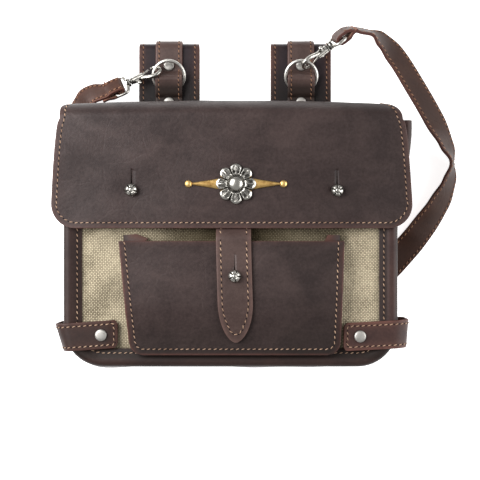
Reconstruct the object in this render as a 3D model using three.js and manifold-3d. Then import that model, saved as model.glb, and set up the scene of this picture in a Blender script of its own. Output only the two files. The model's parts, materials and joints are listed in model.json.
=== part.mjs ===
// A leather and canvas belt pouch lying on its back, its shoulder strap passed behind it.
// Millimetres. While it is built, X = 0 is the pouch's centre line, Y = 0 its bottom edge
// and Z = 0 the table; at the end the origin moves under the middle of the whole part.
import * as THREE from 'three';
import { mergeVertices } from 'three/addons/utils/BufferGeometryUtils.js';
import Module from 'manifold-3d';

const wasm = await Module();
wasm.setup();
const { clamp, degToRad, lerp, smoothstep } = THREE.MathUtils;

// Driving dimensions

const seat = 0.3; // gap left between pieces that touch
const leather = 2;
const canvas = 1.2;

const body = { width: 232, height: 166, corner: 28, front: 58, band: 13, roll: 4, footBand: 12,
  footEase: 1.4 };
const back = { strapRoom: 2.7, loopRoom: 5, rampFrom: 112, rampTo: 138, bend: 18 };
const flap = { top: 185.5, bottom: 96, bend: 12, corner: 18, rim: 58.9, crown: 4.2, shift: 0.9,
  halfTop: 118, halfBottom: 125.6, backShare: 0.3, sag: 2.8, sagHeld: 0.6 };
const panel = { swell: 2.2, swellX: 103, swellY: 78, middleY: 90, topInset: 4 };
const pocket = { top: 87.3, bottom: 11.3, leftTop: -76.8, leftBottom: -69.3, rightTop: 78.3,
  rightBottom: 75.6, corner: 9, deepFoot: 5, deepMiddle: 9, deepTop: 7.5, footRun: 34, mouthRun: 40,
  press: 2, pressRun: 26, wall: 1.2, inset: 3, ears: 5, flange: 8, facets: 0.25 };
const tongue = { x: 2.1, width: 24, top: 110, tip: 18, point: 27, tipHalf: 1.2, climbFrom: 1,
  climbTo: 11.5, studX: 2.8, studY: 63.4 };
const slit = { width: 0.9, length: 15, hole: 2.6, reach: 30 };
const stud = { neck: 1.9, head: 4.3, tall: 5.4, flange: 4.6, thin: 0.9, thick: 1.3,
  lobes: 6, lobeDepth: 0.07 };
const badge = { x: 3.8, y: 126.5, plateLong: 70.4, plateHigh: 9, plateThick: 1.6, end: 2.6, neck: 0.8,
  waist: 6, rosette: 14, petals: 8, petalDepth: 2.4, rosetteThick: 3.2, boss: 5, sunk: 0.5 };
const cornerStrap = { width: 19.5, inner: 78, level: 85, tail: 8, turn: 32, shoulder: 9, tuck: 13,
  rivet: 4.1 };
const loop = { width: 44, top: 232, thick: 2.2, high: 11, end: 150, rise: 168, level: 190 };
const tab = { width: 19.4, thick: 1.8, wrapDeg: -35 };
const rivet = { radius: 3.8, high: 1.8, upperY: 215, lowerY: 188.2 };
const ring = { radius: 11.25, wire: 1.25, foot: 196.4, tiltDeg: 20 };
const hook = { barrel: 2.7, barrelEnd: 14, ease: 0.8, wire: 1.2, bendX: 22, bend: 4.6, mouthDeg: 112,
  throatX: 22, slot: 1.1, slotFrom: 7, slotTo: 12.6, boreLong: 3.4, pivotX: 10.5, pivotY: 0.6, pin: 0.6,
  gateThick: 1.6 };
const eye = { collar: 3.3, collarLong: 3, post: 1.1, postLong: 2.8, wire: 1.1, reach: 9.5 };
const strap = { width: 19, endWidth: 12.6, tailWidth: 13, thick: 2.2, tail: 11, pinch: 6, slack: 3.4,
  clear: 0.2 };

// Stud head: shares of its radius and height.
const studHead = [
  { radius: 0.78, high: 0 }, { radius: 1, high: 0.34 }, { radius: 0.96, high: 0.62 },
  { radius: 0.7, high: 0.88 }, { radius: 0.32, high: 1 },
];

// Rivet head: shares of its radius and height.
const rivetDome = [
  { radius: 0, high: 0 }, { radius: 1, high: 0 }, { radius: 1, high: 0.22 },
  { radius: 0.84, high: 0.64 }, { radius: 0.45, high: 0.92 }, { radius: 0, high: 1 },
];

// Boss of the rosette: share of its radius, height above its foot.
const bossDome = [
  { radius: 0, high: 0 }, { radius: 1, high: 0 }, { radius: 1, high: 1.2 },
  { radius: 0.72, high: 2.2 }, { radius: 0, high: 2.8 },
];

// Underside of a ring tab: how far it stands above the loop as it passes over the ring.
const tabBulge = [
  { y: 184.2, up: 0 }, { y: 190.4, up: 0 }, { y: 192.8, up: 0.4 }, { y: 194.2, up: 1.9 },
  { y: 195.4, up: 2.8 }, { y: 199, up: 4.04 }, { y: 203.4, up: 5.64 }, { y: 205.4, up: 6 },
  { y: 207.6, up: 3 }, { y: 209.6, up: 0.7 }, { y: 211.6, up: 0 }, { y: 217, up: 0 },
];

// Hooks and eyes, along and across their length: root of the claw, outline of the gate with the
// knob of its thumb lever, turned collar and one half of the bail.
const clawRoot = [{ x: 12, y: -1.2 }, { x: 16.6, y: -3.4 }, { x: 19, y: -4.4 }];
const gateEdge = [
  { x: 9.1, y: 1.8 }, { x: 18.7, y: 5.1 }, { x: 18.8, y: 3.5 }, { x: 12.1, y: 0.1 }, { x: 10.3, y: -3.8 },
];
const gateKnob = { x: 9.3, y: -5.2, radius: 1.5, fromDeg: 52, toDeg: -222, neckX: 8.6, neckY: -3.8 };
const collarTurning = [
  { inset: 0.5, at: 0 }, { inset: 0, at: 0.5 }, { inset: 0, at: 1.1 }, { inset: 0.6, at: 1.4 },
  { inset: 0.6, at: 1.7 }, { inset: 0, at: 2 }, { inset: 0, at: 2.6 }, { inset: 0.4, at: 3 },
];
const bailHalf = [
  { x: 0.9, y: 0.8 }, { x: 0.4, y: 3.6 }, { x: -0.2, y: 6 }, { x: -1.2, y: 7.6 }, { x: -3.2, y: 8.4 },
  { x: -7.6, y: 8.4 }, { x: -9.2, y: 7.2 }, { x: -9.5, y: 5.2 },
];

// Left and right differ a little on a hand-sewn piece, so each side has its own row.
const sides = [
  { name: 'left', sign: -1, studX: -68.1, studY: 122.4, loopX: -45.2, standOff: 4.4, slope: 0.075,
    dip: 0.7, strapY: 22.4, rivetX: -89.4, hookTurnDeg: 24, hookSpinDeg: -44, ringAtDeg: 160,
    eyeSpinDeg: -36 },
  { name: 'right', sign: 1, studX: 73.3, studY: 122, loopX: 51, standOff: 6.2, slope: 0.05,
    dip: 0, strapY: 21.5, rivetX: 89.4, hookTurnDeg: 218, hookSpinDeg: -62, ringAtDeg: 64,
    eyeSpinDeg: 66 },
];

// Middle line of the shoulder strap from the right eye round behind the pouch to the left eye.
// roll is the lean in degrees, the right-hand edge up; lift is the height where it hangs clear.
const strapRoute = [
  { x: 93, y: 240, roll: 70, lift: 16.5 },
  { x: 101, y: 239, roll: 74, lift: 12.5 },
  { x: 110, y: 234.5, roll: 50, lift: 9.5 },
  { x: 121, y: 223, roll: 34 },
  { x: 135, y: 201, roll: 32 },
  { x: 149, y: 176.5, roll: 33 },
  { x: 158, y: 157.5, roll: 52 },
  { x: 161.6, y: 144.5, roll: 76 },
  { x: 159.8, y: 131, roll: 55 },
  { x: 152.5, y: 114.5, roll: 34 },
  { x: 139.5, y: 95, roll: 14 },
  { x: 128, y: 80.5, roll: 0 },
  { x: 108, y: 60, roll: 0 },
  { x: 80, y: 42, roll: 0 },
  { x: 40, y: 29, roll: 0 },
  { x: -5, y: 27, roll: 0 },
  { x: -48, y: 42, roll: 0 },
  { x: -82, y: 76, roll: 0 },
  { x: -102, y: 118, roll: 0 },
  { x: -110, y: 156, roll: 0 },
  { x: -112, y: 176, roll: 0 },
  { x: -107.6, y: 188.4, roll: 30 },
  { x: -101.2, y: 193.6, roll: 36, lift: 13.4 },
  { x: -94, y: 195, roll: 37, lift: 17.4 },
];

// Looks

function look(colour, roughness, metalness) {
  return new THREE.MeshStandardMaterial({ color: colour, roughness, metalness });
}

const looks = {
  leather: look(0x4b403d, 0.55, 0),
  strapLeather: look(0x553c36, 0.5, 0),
  canvas: look(0xb5a67c, 0.95, 0),
  silver: look(0xa7a39b, 0.35, 0.9),
  brass: look(0x9a7a3c, 0.35, 0.9),
};

// Solids

function toSolid(geometry) {
  const bare = geometry.clone();
  bare.deleteAttribute('normal');
  bare.deleteAttribute('uv');
  const merged = mergeVertices(bare, 1e-4);
  return new wasm.Manifold(new wasm.Mesh({
    numProp: 3,
    vertProperties: Float32Array.from(merged.attributes.position.array),
    triVerts: Uint32Array.from(merged.index.array),
  }));
}

function toGeometry(solid) {
  const { vertProperties, triVerts } = solid.getMesh();
  return meshOf(vertProperties, triVerts);
}

function meshOf(positions, index) {
  const geometry = new THREE.BufferGeometry();
  geometry.setAttribute('position', new THREE.BufferAttribute(Float32Array.from(positions), 3));
  geometry.setIndex(Array.from(index));
  geometry.computeVertexNormals();
  return geometry;
}

function volumeOf(points, index) {
  let six = 0;
  for (let i = 0; i < index.length; i += 3) {
    const [a, b, c] = [points[index[i]], points[index[i + 1]], points[index[i + 2]]];
    six += a.dot(new THREE.Vector3().crossVectors(b, c));
  }
  return six / 6;
}

// A wall through rows of points: each row has the same number of outer and inner points.
function wall(rows) {
  const count = rows[0].outer.length;
  const rim = 2 * count;
  const points = rows.flatMap((row) => [...row.outer, ...row.inner.slice().reverse()]);
  const index = [];
  for (let r = 0; r < rows.length - 1; r += 1) {
    for (let k = 0; k < rim; k += 1) {
      const a = r * rim + k;
      const b = r * rim + ((k + 1) % rim);
      index.push(a, b, b + rim, a, b + rim, a + rim);
    }
  }
  const last = (rows.length - 1) * rim;
  for (let k = 0; k < count - 1; k += 1) {
    const far = rim - 1 - k;
    index.push(k, far, k + 1, k + 1, far, far - 1);
    index.push(last + k, last + k + 1, last + far, last + k + 1, last + far - 1, last + far);
  }
  if (volumeOf(points, index) < 0) index.reverse();
  return meshOf(points.flatMap((p) => [p.x, p.y, p.z]), index);
}

// Points of a plane path moved sideways, to the left of its direction, by a thickness.
function offsetPath(path, distance) {
  return path.map((point, i) => {
    const before = path[Math.max(0, i - 1)];
    const after = path[Math.min(path.length - 1, i + 1)];
    const along = new THREE.Vector2().subVectors(after, before).normalize();
    const inward = point === before || point === after ? 1
      : 1 / Math.max(0.6, Math.cos(turnAt(before, point, after) / 2));
    return new THREE.Vector2(-along.y, along.x).multiplyScalar(distance * inward).add(point);
  });
}

function turnAt(before, point, after) {
  const first = new THREE.Vector2().subVectors(point, before);
  const second = new THREE.Vector2().subVectors(after, point);
  return Math.abs(Math.atan2(first.cross(second), first.dot(second)));
}

// A band of even thickness whose plane path is spread across a width by place(point, across).
function band(path, thick, acrossList, place) {
  const inner = offsetPath(path, thick);
  return wall(acrossList.map((across) => ({
    outer: path.map((p) => place(p, across)),
    inner: inner.map((p) => place(p, across)),
  })));
}

function cylinderAt(radius, low, high, x, y, steps = 20) {
  const geometry = new THREE.CylinderGeometry(radius, radius, high - low, steps);
  geometry.rotateX(Math.PI / 2);
  geometry.translate(x, y, (low + high) / 2);
  return geometry;
}

function boxAt(sizeX, sizeY, sizeZ, x, y, z) {
  const geometry = new THREE.BoxGeometry(sizeX, sizeY, sizeZ);
  geometry.translate(x, y, z);
  return geometry;
}

// Lathe about Z from [radius, height] pairs that start and end on the axis.
function turned(profile, steps = 12) {
  const points = profile.map(([radius, high]) => new THREE.Vector2(radius, high));
  const geometry = new THREE.LatheGeometry(points, steps);
  geometry.rotateX(Math.PI / 2);
  return geometry;
}

function rod(curve, radius, steps, segments) {
  const section = new THREE.Shape();
  section.absarc(0, 0, radius, 0, 2 * Math.PI);
  const outline = new THREE.Shape(section.getPoints(segments / 2).slice(0, segments));
  return new THREE.ExtrudeGeometry(outline, { steps, extrudePath: curve, curveSegments: 1 });
}

function piece(name, geometry, material) {
  const mesh = new THREE.Mesh(geometry, material);
  mesh.name = name;
  return mesh;
}

function spread(count, from, to) {
  return Array.from({ length: count + 1 }, (_, i) => lerp(from, to, i / count));
}

// Depth lost at a distance from the end of a panel whose corners are round.
function cornerInset(distance, corner) {
  if (distance >= corner) return 0;
  return corner - Math.sqrt(corner ** 2 - (corner - distance) ** 2);
}

function cornerSteps(corner, count = 5) {
  return spread(count, 0, 90).map((deg) => corner * (1 - Math.cos(degToRad(deg))));
}

// Surfaces that pieces rest on

const canvasRim = body.front - leather - seat;

function canvasTop(x, y) {
  const across = Math.max(0, 1 - (x / panel.swellX) ** 2);
  const along = Math.max(0, 1 - ((y - panel.middleY) / panel.swellY) ** 2);
  return canvasRim + panel.swell * across * along;
}

function backUnder(y) {
  const share = clamp((y - back.rampFrom) / (back.rampTo - back.rampFrom), 0, 1);
  return lerp(back.strapRoom, back.loopRoom, share);
}

function flapCrown(x) {
  return flap.crown * Math.max(0, 1 - (x / flap.halfBottom) ** 2);
}

function flapTop(x) {
  return flap.rim + leather + flapCrown(x);
}

function pocketTop(x, y) {
  const foot = smoothstep(y, pocket.bottom, pocket.bottom + pocket.footRun);
  const mouth = smoothstep(y, pocket.top - pocket.mouthRun, pocket.top);
  const pressed = pocket.press * mouth * Math.exp(-(((x - tongue.x) / pocket.pressRun) ** 2));
  const deep = lerp(pocket.deepFoot, lerp(pocket.deepMiddle, pocket.deepTop, mouth), foot);
  return canvasTop(x, y) + deep - pressed + leather;
}

function tongueUnder(y) {
  const low = canvasTop(tongue.x, y) + seat;
  const edge = tongue.x + tongue.width / 2;
  const high = pocketTop(edge, Math.min(y, pocket.top)) + seat;
  return lerp(high, low, smoothstep(y, pocket.top + tongue.climbFrom, pocket.top + tongue.climbTo));
}

function loopTop(y) {
  return lerp(2 * loop.thick + seat, loop.high, smoothstep(y, loop.rise, loop.level));
}

// Back and flap: one hide, from the bottom edge up the back, over the top and down the front

function backFlap() {
  const columns = spread(10, -1, 1);
  const rows = [];
  const addRow = (y, z, normalY, normalZ, left, right, crown, sag) => {
    const pointAt = (depth) => columns.map((u) => {
      const x = lerp(left, right, (u + 1) / 2);
      const drop = sag * flap.sag * (x / flap.halfTop) ** 2;
      const rise = crown * flapCrown(x);
      return new THREE.Vector3(x, y - depth * normalY - drop, z - depth * normalZ + rise);
    });
    rows.push({ outer: pointAt(0), inner: pointAt(leather) });
  };
  const half = body.width / 2;
  const backTop = flap.top - back.bend;
  const flatRows = [56, 84, back.rampFrom, back.rampTo, backTop];
  for (const y of [...cornerSteps(body.corner), ...flatRows]) {
    const edge = half - cornerInset(y, body.corner);
    addRow(y, backUnder(y), 0, -1, -edge, edge, 0, 0);
  }
  const frontZ = flap.rim + leather;
  const widen = (share) => lerp(half, flap.halfTop, share);
  for (const deg of spread(6, 15, 90)) {
    const angle = degToRad(deg);
    const y = backTop + back.bend * Math.sin(angle);
    const z = back.loopRoom + back.bend * (1 - Math.cos(angle));
    const edge = widen(flap.backShare);
    addRow(y, z, Math.sin(angle), -Math.cos(angle), -edge, edge, 0, Math.sin(angle));
  }
  for (const deg of spread(6, 0, 90)) {
    const angle = degToRad(deg);
    const y = flap.top - flap.bend * (1 - Math.cos(angle));
    const z = frontZ - flap.bend * (1 - Math.sin(angle));
    const share = deg / 90;
    addRow(y, z, Math.cos(angle), Math.sin(angle), -widen(1), widen(1) + flap.shift * share,
      Math.sin(angle) ** 2, lerp(1, flap.sagHeld, share));
  }
  const frontTop = flap.top - flap.bend;
  const downTo = flap.bottom + flap.corner;
  const frontRows = spread(5, frontTop, downTo).slice(1);
  const endRows = cornerSteps(flap.corner).reverse().slice(1).map((d) => flap.bottom + d);
  for (const y of [...frontRows, ...endRows]) {
    const share = Math.sqrt((frontTop - y) / (frontTop - flap.bottom));
    const edge = lerp(flap.halfTop, flap.halfBottom, share) - cornerInset(y - flap.bottom, flap.corner);
    const held = flap.sagHeld * (1 - share);
    addRow(y, frontZ, 0, 1, -edge + flap.shift * share, edge + flap.shift, 1, held);
  }
  let hide = toSolid(wall(rows));
  for (const side of sides) {
    hide = hide.subtract(slitAt(side.studX, side.studY, canvasRim));
  }
  return toGeometry(hide);
}

// Button hole with the slit above it that lets the stud through
function slitAt(x, y, low) {
  const high = low + slit.reach;
  const hole = toSolid(cylinderAt(slit.hole, low, high, x, y, 14));
  const cut = boxAt(slit.width, slit.length, high - low, x, y + slit.length / 2, (low + high) / 2);
  return hole.add(toSolid(cut));
}

// Gussets: a channel run round a U-shaped path, its open side inward

// Stations down the left, round the bottom and up the right, each with its inward direction.
function uPath(corners, radius, sideStops) {
  const [topLeft, footLeft, footRight, topRight] = corners;
  const path = new THREE.Path();
  const near = (from, to) => to.clone().sub(from).setLength(radius).add(from);
  const stops = [near(footLeft, topLeft), near(footLeft, footRight),
    near(footRight, footLeft), near(footRight, topRight)];
  const upSide = (from, to) => sideStops.map((share) => from.clone().lerp(to, share));
  path.moveTo(topLeft.x, topLeft.y);
  for (const stop of upSide(stops[0], topLeft).reverse()) path.lineTo(stop.x, stop.y);
  path.lineTo(stops[0].x, stops[0].y);
  path.bezierCurveTo(...bow(stops[0], footLeft, stops[1]));
  path.lineTo(stops[2].x, stops[2].y);
  path.bezierCurveTo(...bow(stops[2], footRight, stops[3]));
  for (const stop of upSide(stops[3], topRight)) path.lineTo(stop.x, stop.y);
  path.lineTo(topRight.x, topRight.y);
  return path;
}

// Control points of a quarter round from one stop to the next about a corner.
function bow(from, corner, to) {
  const pull = 0.5523;
  const first = from.clone().lerp(corner, pull);
  const second = to.clone().lerp(corner, pull);
  return [first.x, first.y, second.x, second.y, to.x, to.y];
}

function uStations(path, longest) {
  const points = [];
  for (const curve of path.curves) {
    const steps = curve.isLineCurve ? Math.ceil(curve.getLength() / longest) : 5;
    const own = curve.getPoints(steps);
    points.push(...(points.length ? own.slice(1) : own));
  }
  return points.map((point, i) => {
    const before = points[Math.max(0, i - 1)];
    const after = points[Math.min(points.length - 1, i + 1)];
    const along = new THREE.Vector2().subVectors(after, before).normalize();
    return { point, inward: new THREE.Vector2(-along.y, along.x) };
  });
}

function channel(stations, section) {
  return wall(stations.map(({ point, inward }) => {
    const { outer, inner } = section(point.x, point.y);
    const place = ([n, z]) => new THREE.Vector3(point.x + n * inward.x, point.y + n * inward.y, z);
    return { outer: outer.map(place), inner: inner.map(place) };
  }));
}

function gusset() {
  const half = body.width / 2;
  const corners = [[-half, body.height], [-half, 0], [half, 0], [half, body.height]];
  const ramp = [back.rampFrom, back.rampTo].map((y) => (y - body.corner) / (body.height - body.corner));
  const path = uPath(corners.map(([x, y]) => new THREE.Vector2(x, y)), body.corner, ramp);
  const turn = body.roll;
  const rollSteps = [0, 30, 60, 90].map(degToRad);
  return channel(uStations(path, 44), (x, y) => {
    const foot = backUnder(y) + leather + seat;
    const top = body.front;
    const rolled = (radius) => rollSteps.map((angle) => [
      turn - radius * Math.cos(angle), top - turn + radius * Math.sin(angle)]);
    const { band: frontEdge, footBand, footEase } = body;
    const inside = leather + footEase / 2;
    return {
      outer: [[footBand, foot], [footEase, foot], [0, foot + footEase], ...rolled(turn), [frontEdge, top]],
      inner: [[footBand, foot + leather], [inside, foot + leather], [leather, foot + inside],
        ...rolled(turn - leather), [frontEdge, top - leather]],
    };
  });
}

function pocketGusset() {
  const inset = pocket.inset;
  const corners = [
    [pocket.leftTop + inset, pocket.top + pocket.ears],
    [pocket.leftBottom + inset, pocket.bottom + inset],
    [pocket.rightBottom - inset, pocket.bottom + inset],
    [pocket.rightTop - inset, pocket.top + pocket.ears]];
  const path = uPath(corners.map(([x, y]) => new THREE.Vector2(x, y)), pocket.corner, []);
  const thick = pocket.wall;
  const ease = 0.5;
  return channel(uStations(path, 12), (x, y) => {
    const end = pocket.flange;
    const inboard = x - Math.sign(x) * end / 2; // the flange lies over higher canvas than its edge
    const foot = canvasTop(inboard, y) + seat + pocket.facets;
    const top = pocketTop(x, y) - leather - seat - pocket.facets / 2;
    return {
      outer: [[end, foot], [ease, foot], [0, foot + ease], [0, top - ease], [ease, top], [end, top]],
      inner: [[end, foot + thick], [thick + ease, foot + thick], [thick, foot + thick + ease],
        [thick, top - thick - ease], [thick + ease, top - thick], [end, top - thick]],
    };
  });
}

// Flat panels that follow a surface

function frontPanel() {
  const low = body.roll + seat;
  const edge = body.width / 2 - low;
  const corner = body.corner - body.roll;
  const ys = [...cornerSteps(corner).map((d) => low + d),
    ...spread(9, low + corner, body.height - panel.topInset).slice(1)];
  const rows = ys.map((y) => {
    const reach = edge - cornerInset(y - low, corner);
    const at = (z) => spread(10, -reach, reach).map((x) => new THREE.Vector3(x, y, canvasTop(x, y) + z));
    return { outer: at(0), inner: at(-canvas) };
  });
  return wall(rows);
}

function pocketPanel() {
  const ys = [...cornerSteps(pocket.corner, 4).map((d) => pocket.bottom + d),
    ...spread(9, pocket.bottom + pocket.corner, pocket.top).slice(1)];
  const rows = ys.map((y) => {
    const share = (y - pocket.bottom) / (pocket.top - pocket.bottom);
    const inset = cornerInset(y - pocket.bottom, pocket.corner);
    const left = lerp(pocket.leftBottom, pocket.leftTop, share) + inset;
    const right = lerp(pocket.rightBottom, pocket.rightTop, share) - inset;
    const at = (z) => spread(10, left, right).map((x) => new THREE.Vector3(x, y, pocketTop(x, y) + z));
    return { outer: at(0), inner: at(-leather) };
  });
  return wall(rows);
}

function tongueStrap() {
  const half = tongue.width / 2;
  const foot = pocket.top + tongue.climbTo;
  const lip = pocket.top + tongue.climbFrom;
  const shoulder = tongue.tip + tongue.point;
  const ys = [tongue.top, ...spread(4, foot, lip), ...spread(6, lip, shoulder).slice(1),
    ...spread(8, 0, 90).slice(1).map((d) => shoulder - tongue.point * Math.sin(degToRad(d)))];
  const path = ys.map((y) => new THREE.Vector2(y, tongueUnder(y)));
  const upper = offsetPath(path, -leather);
  const rows = ys.map((y, i) => {
    const past = 1 - Math.max(0, 1 - (y - tongue.tip) / tongue.point) ** 2;
    const reach = Math.max(tongue.tipHalf, half * (Math.sqrt(past) + past) / 2);
    const at = (p) => [-1, 0, 1].map((u) => new THREE.Vector3(tongue.x + u * reach, p.x, p.y));
    return { outer: at(upper[i]), inner: at(path[i]) };
  });
  const solid = toSolid(wall(rows));
  return toGeometry(solid.subtract(slitAt(tongue.studX, tongue.studY, body.front)));
}

// Studs, rivets and badge

// A button stud: foot on one layer, neck through the next, lobed head above it.
function studOn(foot, top, flange) {
  const neckTop = top - foot + seat;
  const { thin, thick } = stud;
  const washer = [[flange, 0], [flange, thin], [stud.neck, thick]];
  const profile = [[0, 0], ...(flange ? washer : [[stud.neck, 0]]), [stud.neck, neckTop],
    ...studHead.map(({ radius, high }) => [radius * stud.head, neckTop + high * stud.tall]),
    [0, neckTop + stud.tall]];
  const geometry = turned(profile, 2 * stud.lobes);
  const spots = geometry.attributes.position;
  for (let i = 0; i < spots.count; i += 1) {
    if (spots.getZ(i) > neckTop + 0.1) {
      const angle = Math.atan2(spots.getY(i), spots.getX(i));
      const lobe = 1 - stud.lobeDepth * (1 - Math.cos(stud.lobes * angle)) / 2;
      spots.setXY(i, spots.getX(i) * lobe, spots.getY(i) * lobe);
    }
  }
  geometry.translate(0, 0, foot);
  return geometry;
}

function rivetHead(radius = rivet.radius) {
  return turned(rivetDome.map((row) => [row.radius * radius, row.high * rivet.high]));
}

// A lozenge with a round end on each side.
function badgePlate() {
  const { end, neck, waist, plateThick } = badge;
  const high = badge.plateHigh / 2;
  const open = Math.asin(neck / end);
  const long = badge.plateLong / 2 - end * (1 + Math.cos(open));
  const middle = long + end * Math.cos(open);
  const outline = new THREE.Shape();
  outline.moveTo(-waist, -high);
  outline.lineTo(waist, -high);
  outline.absarc(middle, 0, end, open - Math.PI, Math.PI - open);
  outline.lineTo(waist, high);
  outline.lineTo(-waist, high);
  outline.absarc(-middle, 0, end, open, 2 * Math.PI - open);
  return new THREE.ExtrudeGeometry(outline, { depth: plateThick, bevelEnabled: false, curveSegments: 5 });
}

function badgeRosette() {
  const around = 6 * badge.petals;
  const outline = spread(around, 0, 2 * Math.PI).slice(0, around).map((angle) => {
    const petal = Math.abs(Math.cos((badge.petals * angle) / 2));
    const radius = badge.rosette - badge.petalDepth * (1 - petal);
    return new THREE.Vector2(radius * Math.cos(angle), radius * Math.sin(angle));
  });
  const disc = new THREE.ExtrudeGeometry(new THREE.Shape(outline), {
    depth: badge.rosetteThick, bevelEnabled: false });
  const low = badge.rosetteThick - badge.sunk;
  const boss = turned(bossDome.map((row) => [row.radius * badge.boss, low + row.high]), 20);
  const notch = boxAt(badge.plateLong, badge.plateHigh + 2 * seat, 2 * (badge.plateThick + seat), 0, 0, 0);
  return toGeometry(toSolid(disc).add(toSolid(boss)).subtract(toSolid(notch)));
}

// Straps and loops at the sides and the top

function cornerStrapBand(side) {
  const half = body.width / 2;
  const onBand = body.front + seat;
  const out = half + side.standOff;
  const close = half + seat;
  const path = new THREE.Path();
  path.moveTo(cornerStrap.inner, onBand - side.dip);
  path.lineTo(cornerStrap.level, onBand);
  path.lineTo(half - body.roll, onBand);
  path.quadraticCurveTo(out, onBand, out, onBand - cornerStrap.shoulder);
  path.lineTo(out, cornerStrap.turn);
  const tucked = cornerStrap.turn - cornerStrap.tuck;
  const between = (cornerStrap.turn + tucked) / 2;
  path.bezierCurveTo(out, between, close, between, close, tucked);
  path.lineTo(close, cornerStrap.tail);
  const points = path.getPoints(5);
  const ends = [side.strapY - cornerStrap.width / 2, side.strapY + cornerStrap.width / 2];
  return band(points, leather, ends, (p, y) => {
    const x = side.sign * p.x;
    return new THREE.Vector3(x, y + side.slope * (x - side.rivetX), p.y);
  });
}

// The fold at the top of a loop, as points of a round about its middle.
function foldOver(radius, degrees) {
  const round = loop.high / 2;
  return degrees.map(degToRad).map((angle) => new THREE.Vector2(
    loop.top - round + radius * Math.cos(angle), round + radius * Math.sin(angle)));
}

function beltLoop(side) {
  const round = loop.high / 2;
  const leaf = [...spread(2, loop.end + loop.thick, loop.rise),
    ...spread(6, loop.rise, loop.level).slice(1)];
  const path = leaf.map((y) => new THREE.Vector2(y, loopTop(y)));
  path.push(...foldOver(round, spread(8, 90, -90)));
  path.push(new THREE.Vector2(loop.end, 0));
  const ends = [-loop.width / 2, loop.width / 2];
  return band(path, -loop.thick, ends, (p, x) => new THREE.Vector3(side.loopX + x, p.x, p.y));
}

function ringTab(side) {
  const low = loop.high + seat;
  const spline = new THREE.SplineCurve(tabBulge.map(({ y, up }) => new THREE.Vector2(y, low + up)));
  const path = spline.getPoints(26);
  path.push(...foldOver(loop.high / 2 + seat, spread(7, 90, tab.wrapDeg)));
  const ends = [-tab.width / 2, tab.width / 2];
  return band(path, tab.thick, ends, (p, x) => new THREE.Vector3(side.loopX + x, p.x, p.y));
}

// Rings, swivel eyes and trigger hooks

function ringCentre(side) {
  const tilt = degToRad(ring.tiltDeg);
  return new THREE.Vector3(side.loopX, ring.foot + ring.radius * Math.cos(tilt),
    loop.high + seat + ring.wire + ring.radius * Math.sin(tilt));
}

function ringPoint(side) {
  const angle = degToRad(side.ringAtDeg);
  const onRing = new THREE.Vector3(ring.radius * Math.cos(angle), ring.radius * Math.sin(angle), 0);
  onRing.applyAxisAngle(new THREE.Vector3(1, 0, 0), degToRad(ring.tiltDeg));
  return onRing.add(ringCentre(side));
}

// Turn of a hook or an eye: its length along X, then a spin about that length.
function turnOf(side, spinDeg) {
  const euler = new THREE.Euler(degToRad(spinDeg), 0, degToRad(side.hookTurnDeg), 'ZYX');
  return new THREE.Quaternion().setFromEuler(euler);
}

function hookOrigin(side) {
  const throat = new THREE.Vector3(hook.throatX, 0, 0);
  return ringPoint(side).sub(throat.applyQuaternion(turnOf(side, side.hookSpinDeg)));
}

function alongX(geometry) {
  return geometry.rotateY(Math.PI / 2);
}

function hookBody() {
  const start = eye.collarLong + seat;
  const { barrel, barrelEnd, ease, slot, slotFrom, slotTo } = hook;
  const tube = alongX(turned([[0, start], [barrel - ease, start], [barrel, start + ease],
    [barrel, barrelEnd - ease], [barrel - ease, barrelEnd], [0, barrelEnd]]));
  const claw = clawRoot.map(({ x, y }) => new THREE.Vector3(x, y, 0));
  for (const angle of spread(6, -90, hook.mouthDeg).map(degToRad)) {
    claw.push(new THREE.Vector3(hook.bendX + hook.bend * Math.cos(angle), hook.bend * Math.sin(angle), 0));
  }
  const arm = rod(new THREE.CatmullRomCurve3(claw), hook.wire, 16, 8);
  const wide = 4 * barrel;
  const through = boxAt(slotTo - slotFrom, wide, 2 * slot, (slotTo + slotFrom) / 2, 0, 0);
  const openLong = barrelEnd - slotFrom + barrel;
  const open = boxAt(openLong, wide / 2, 2 * slot, slotFrom + openLong / 2, wide / 4 - ease / 2, 0);
  const bore = alongX(cylinderAt(eye.post + seat, 0, start + hook.boreLong, 0, 0, 12));
  const pinEnd = barrel - seat;
  const pin = cylinderAt(hook.pin, -pinEnd, pinEnd, hook.pivotX, hook.pivotY, 10);
  const solid = toSolid(tube).add(toSolid(arm)).subtract(toSolid(through)).subtract(toSolid(open));
  return toGeometry(solid.subtract(toSolid(bore)).add(toSolid(pin)));
}

function hookGate() {
  const outline = new THREE.Shape(gateEdge.map(({ x, y }) => new THREE.Vector2(x, y)));
  const { x, y, radius, fromDeg, toDeg, neckX, neckY } = gateKnob;
  outline.absarc(x, y, radius, degToRad(fromDeg), degToRad(toDeg), true);
  outline.lineTo(neckX, neckY);
  const thick = hook.gateThick;
  const plate = new THREE.ExtrudeGeometry(outline, { depth: thick, bevelEnabled: false, curveSegments: 5 });
  plate.translate(0, 0, -thick / 2);
  const hole = cylinderAt(hook.pin + seat, -thick, thick, hook.pivotX, hook.pivotY, 12);
  return toGeometry(toSolid(plate).subtract(toSolid(hole)));
}

function swivelEye() {
  const postEnd = eye.collarLong + eye.postLong;
  const collar = alongX(turned([[0, 0], ...collarTurning.map(({ inset, at }) => [eye.collar - inset, at]),
    [eye.post, eye.collarLong], [eye.post, postEnd], [0, postEnd]]));
  const near = bailHalf.map(({ x, y }) => new THREE.Vector3(x, y, 0));
  const far = bailHalf.map(({ x, y }) => new THREE.Vector3(x, -y, 0)).reverse();
  const bail = rod(new THREE.CatmullRomCurve3([...near, ...far]), eye.wire, 24, 6);
  return toGeometry(toSolid(collar).add(toSolid(bail)));
}

// Shoulder strap

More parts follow.
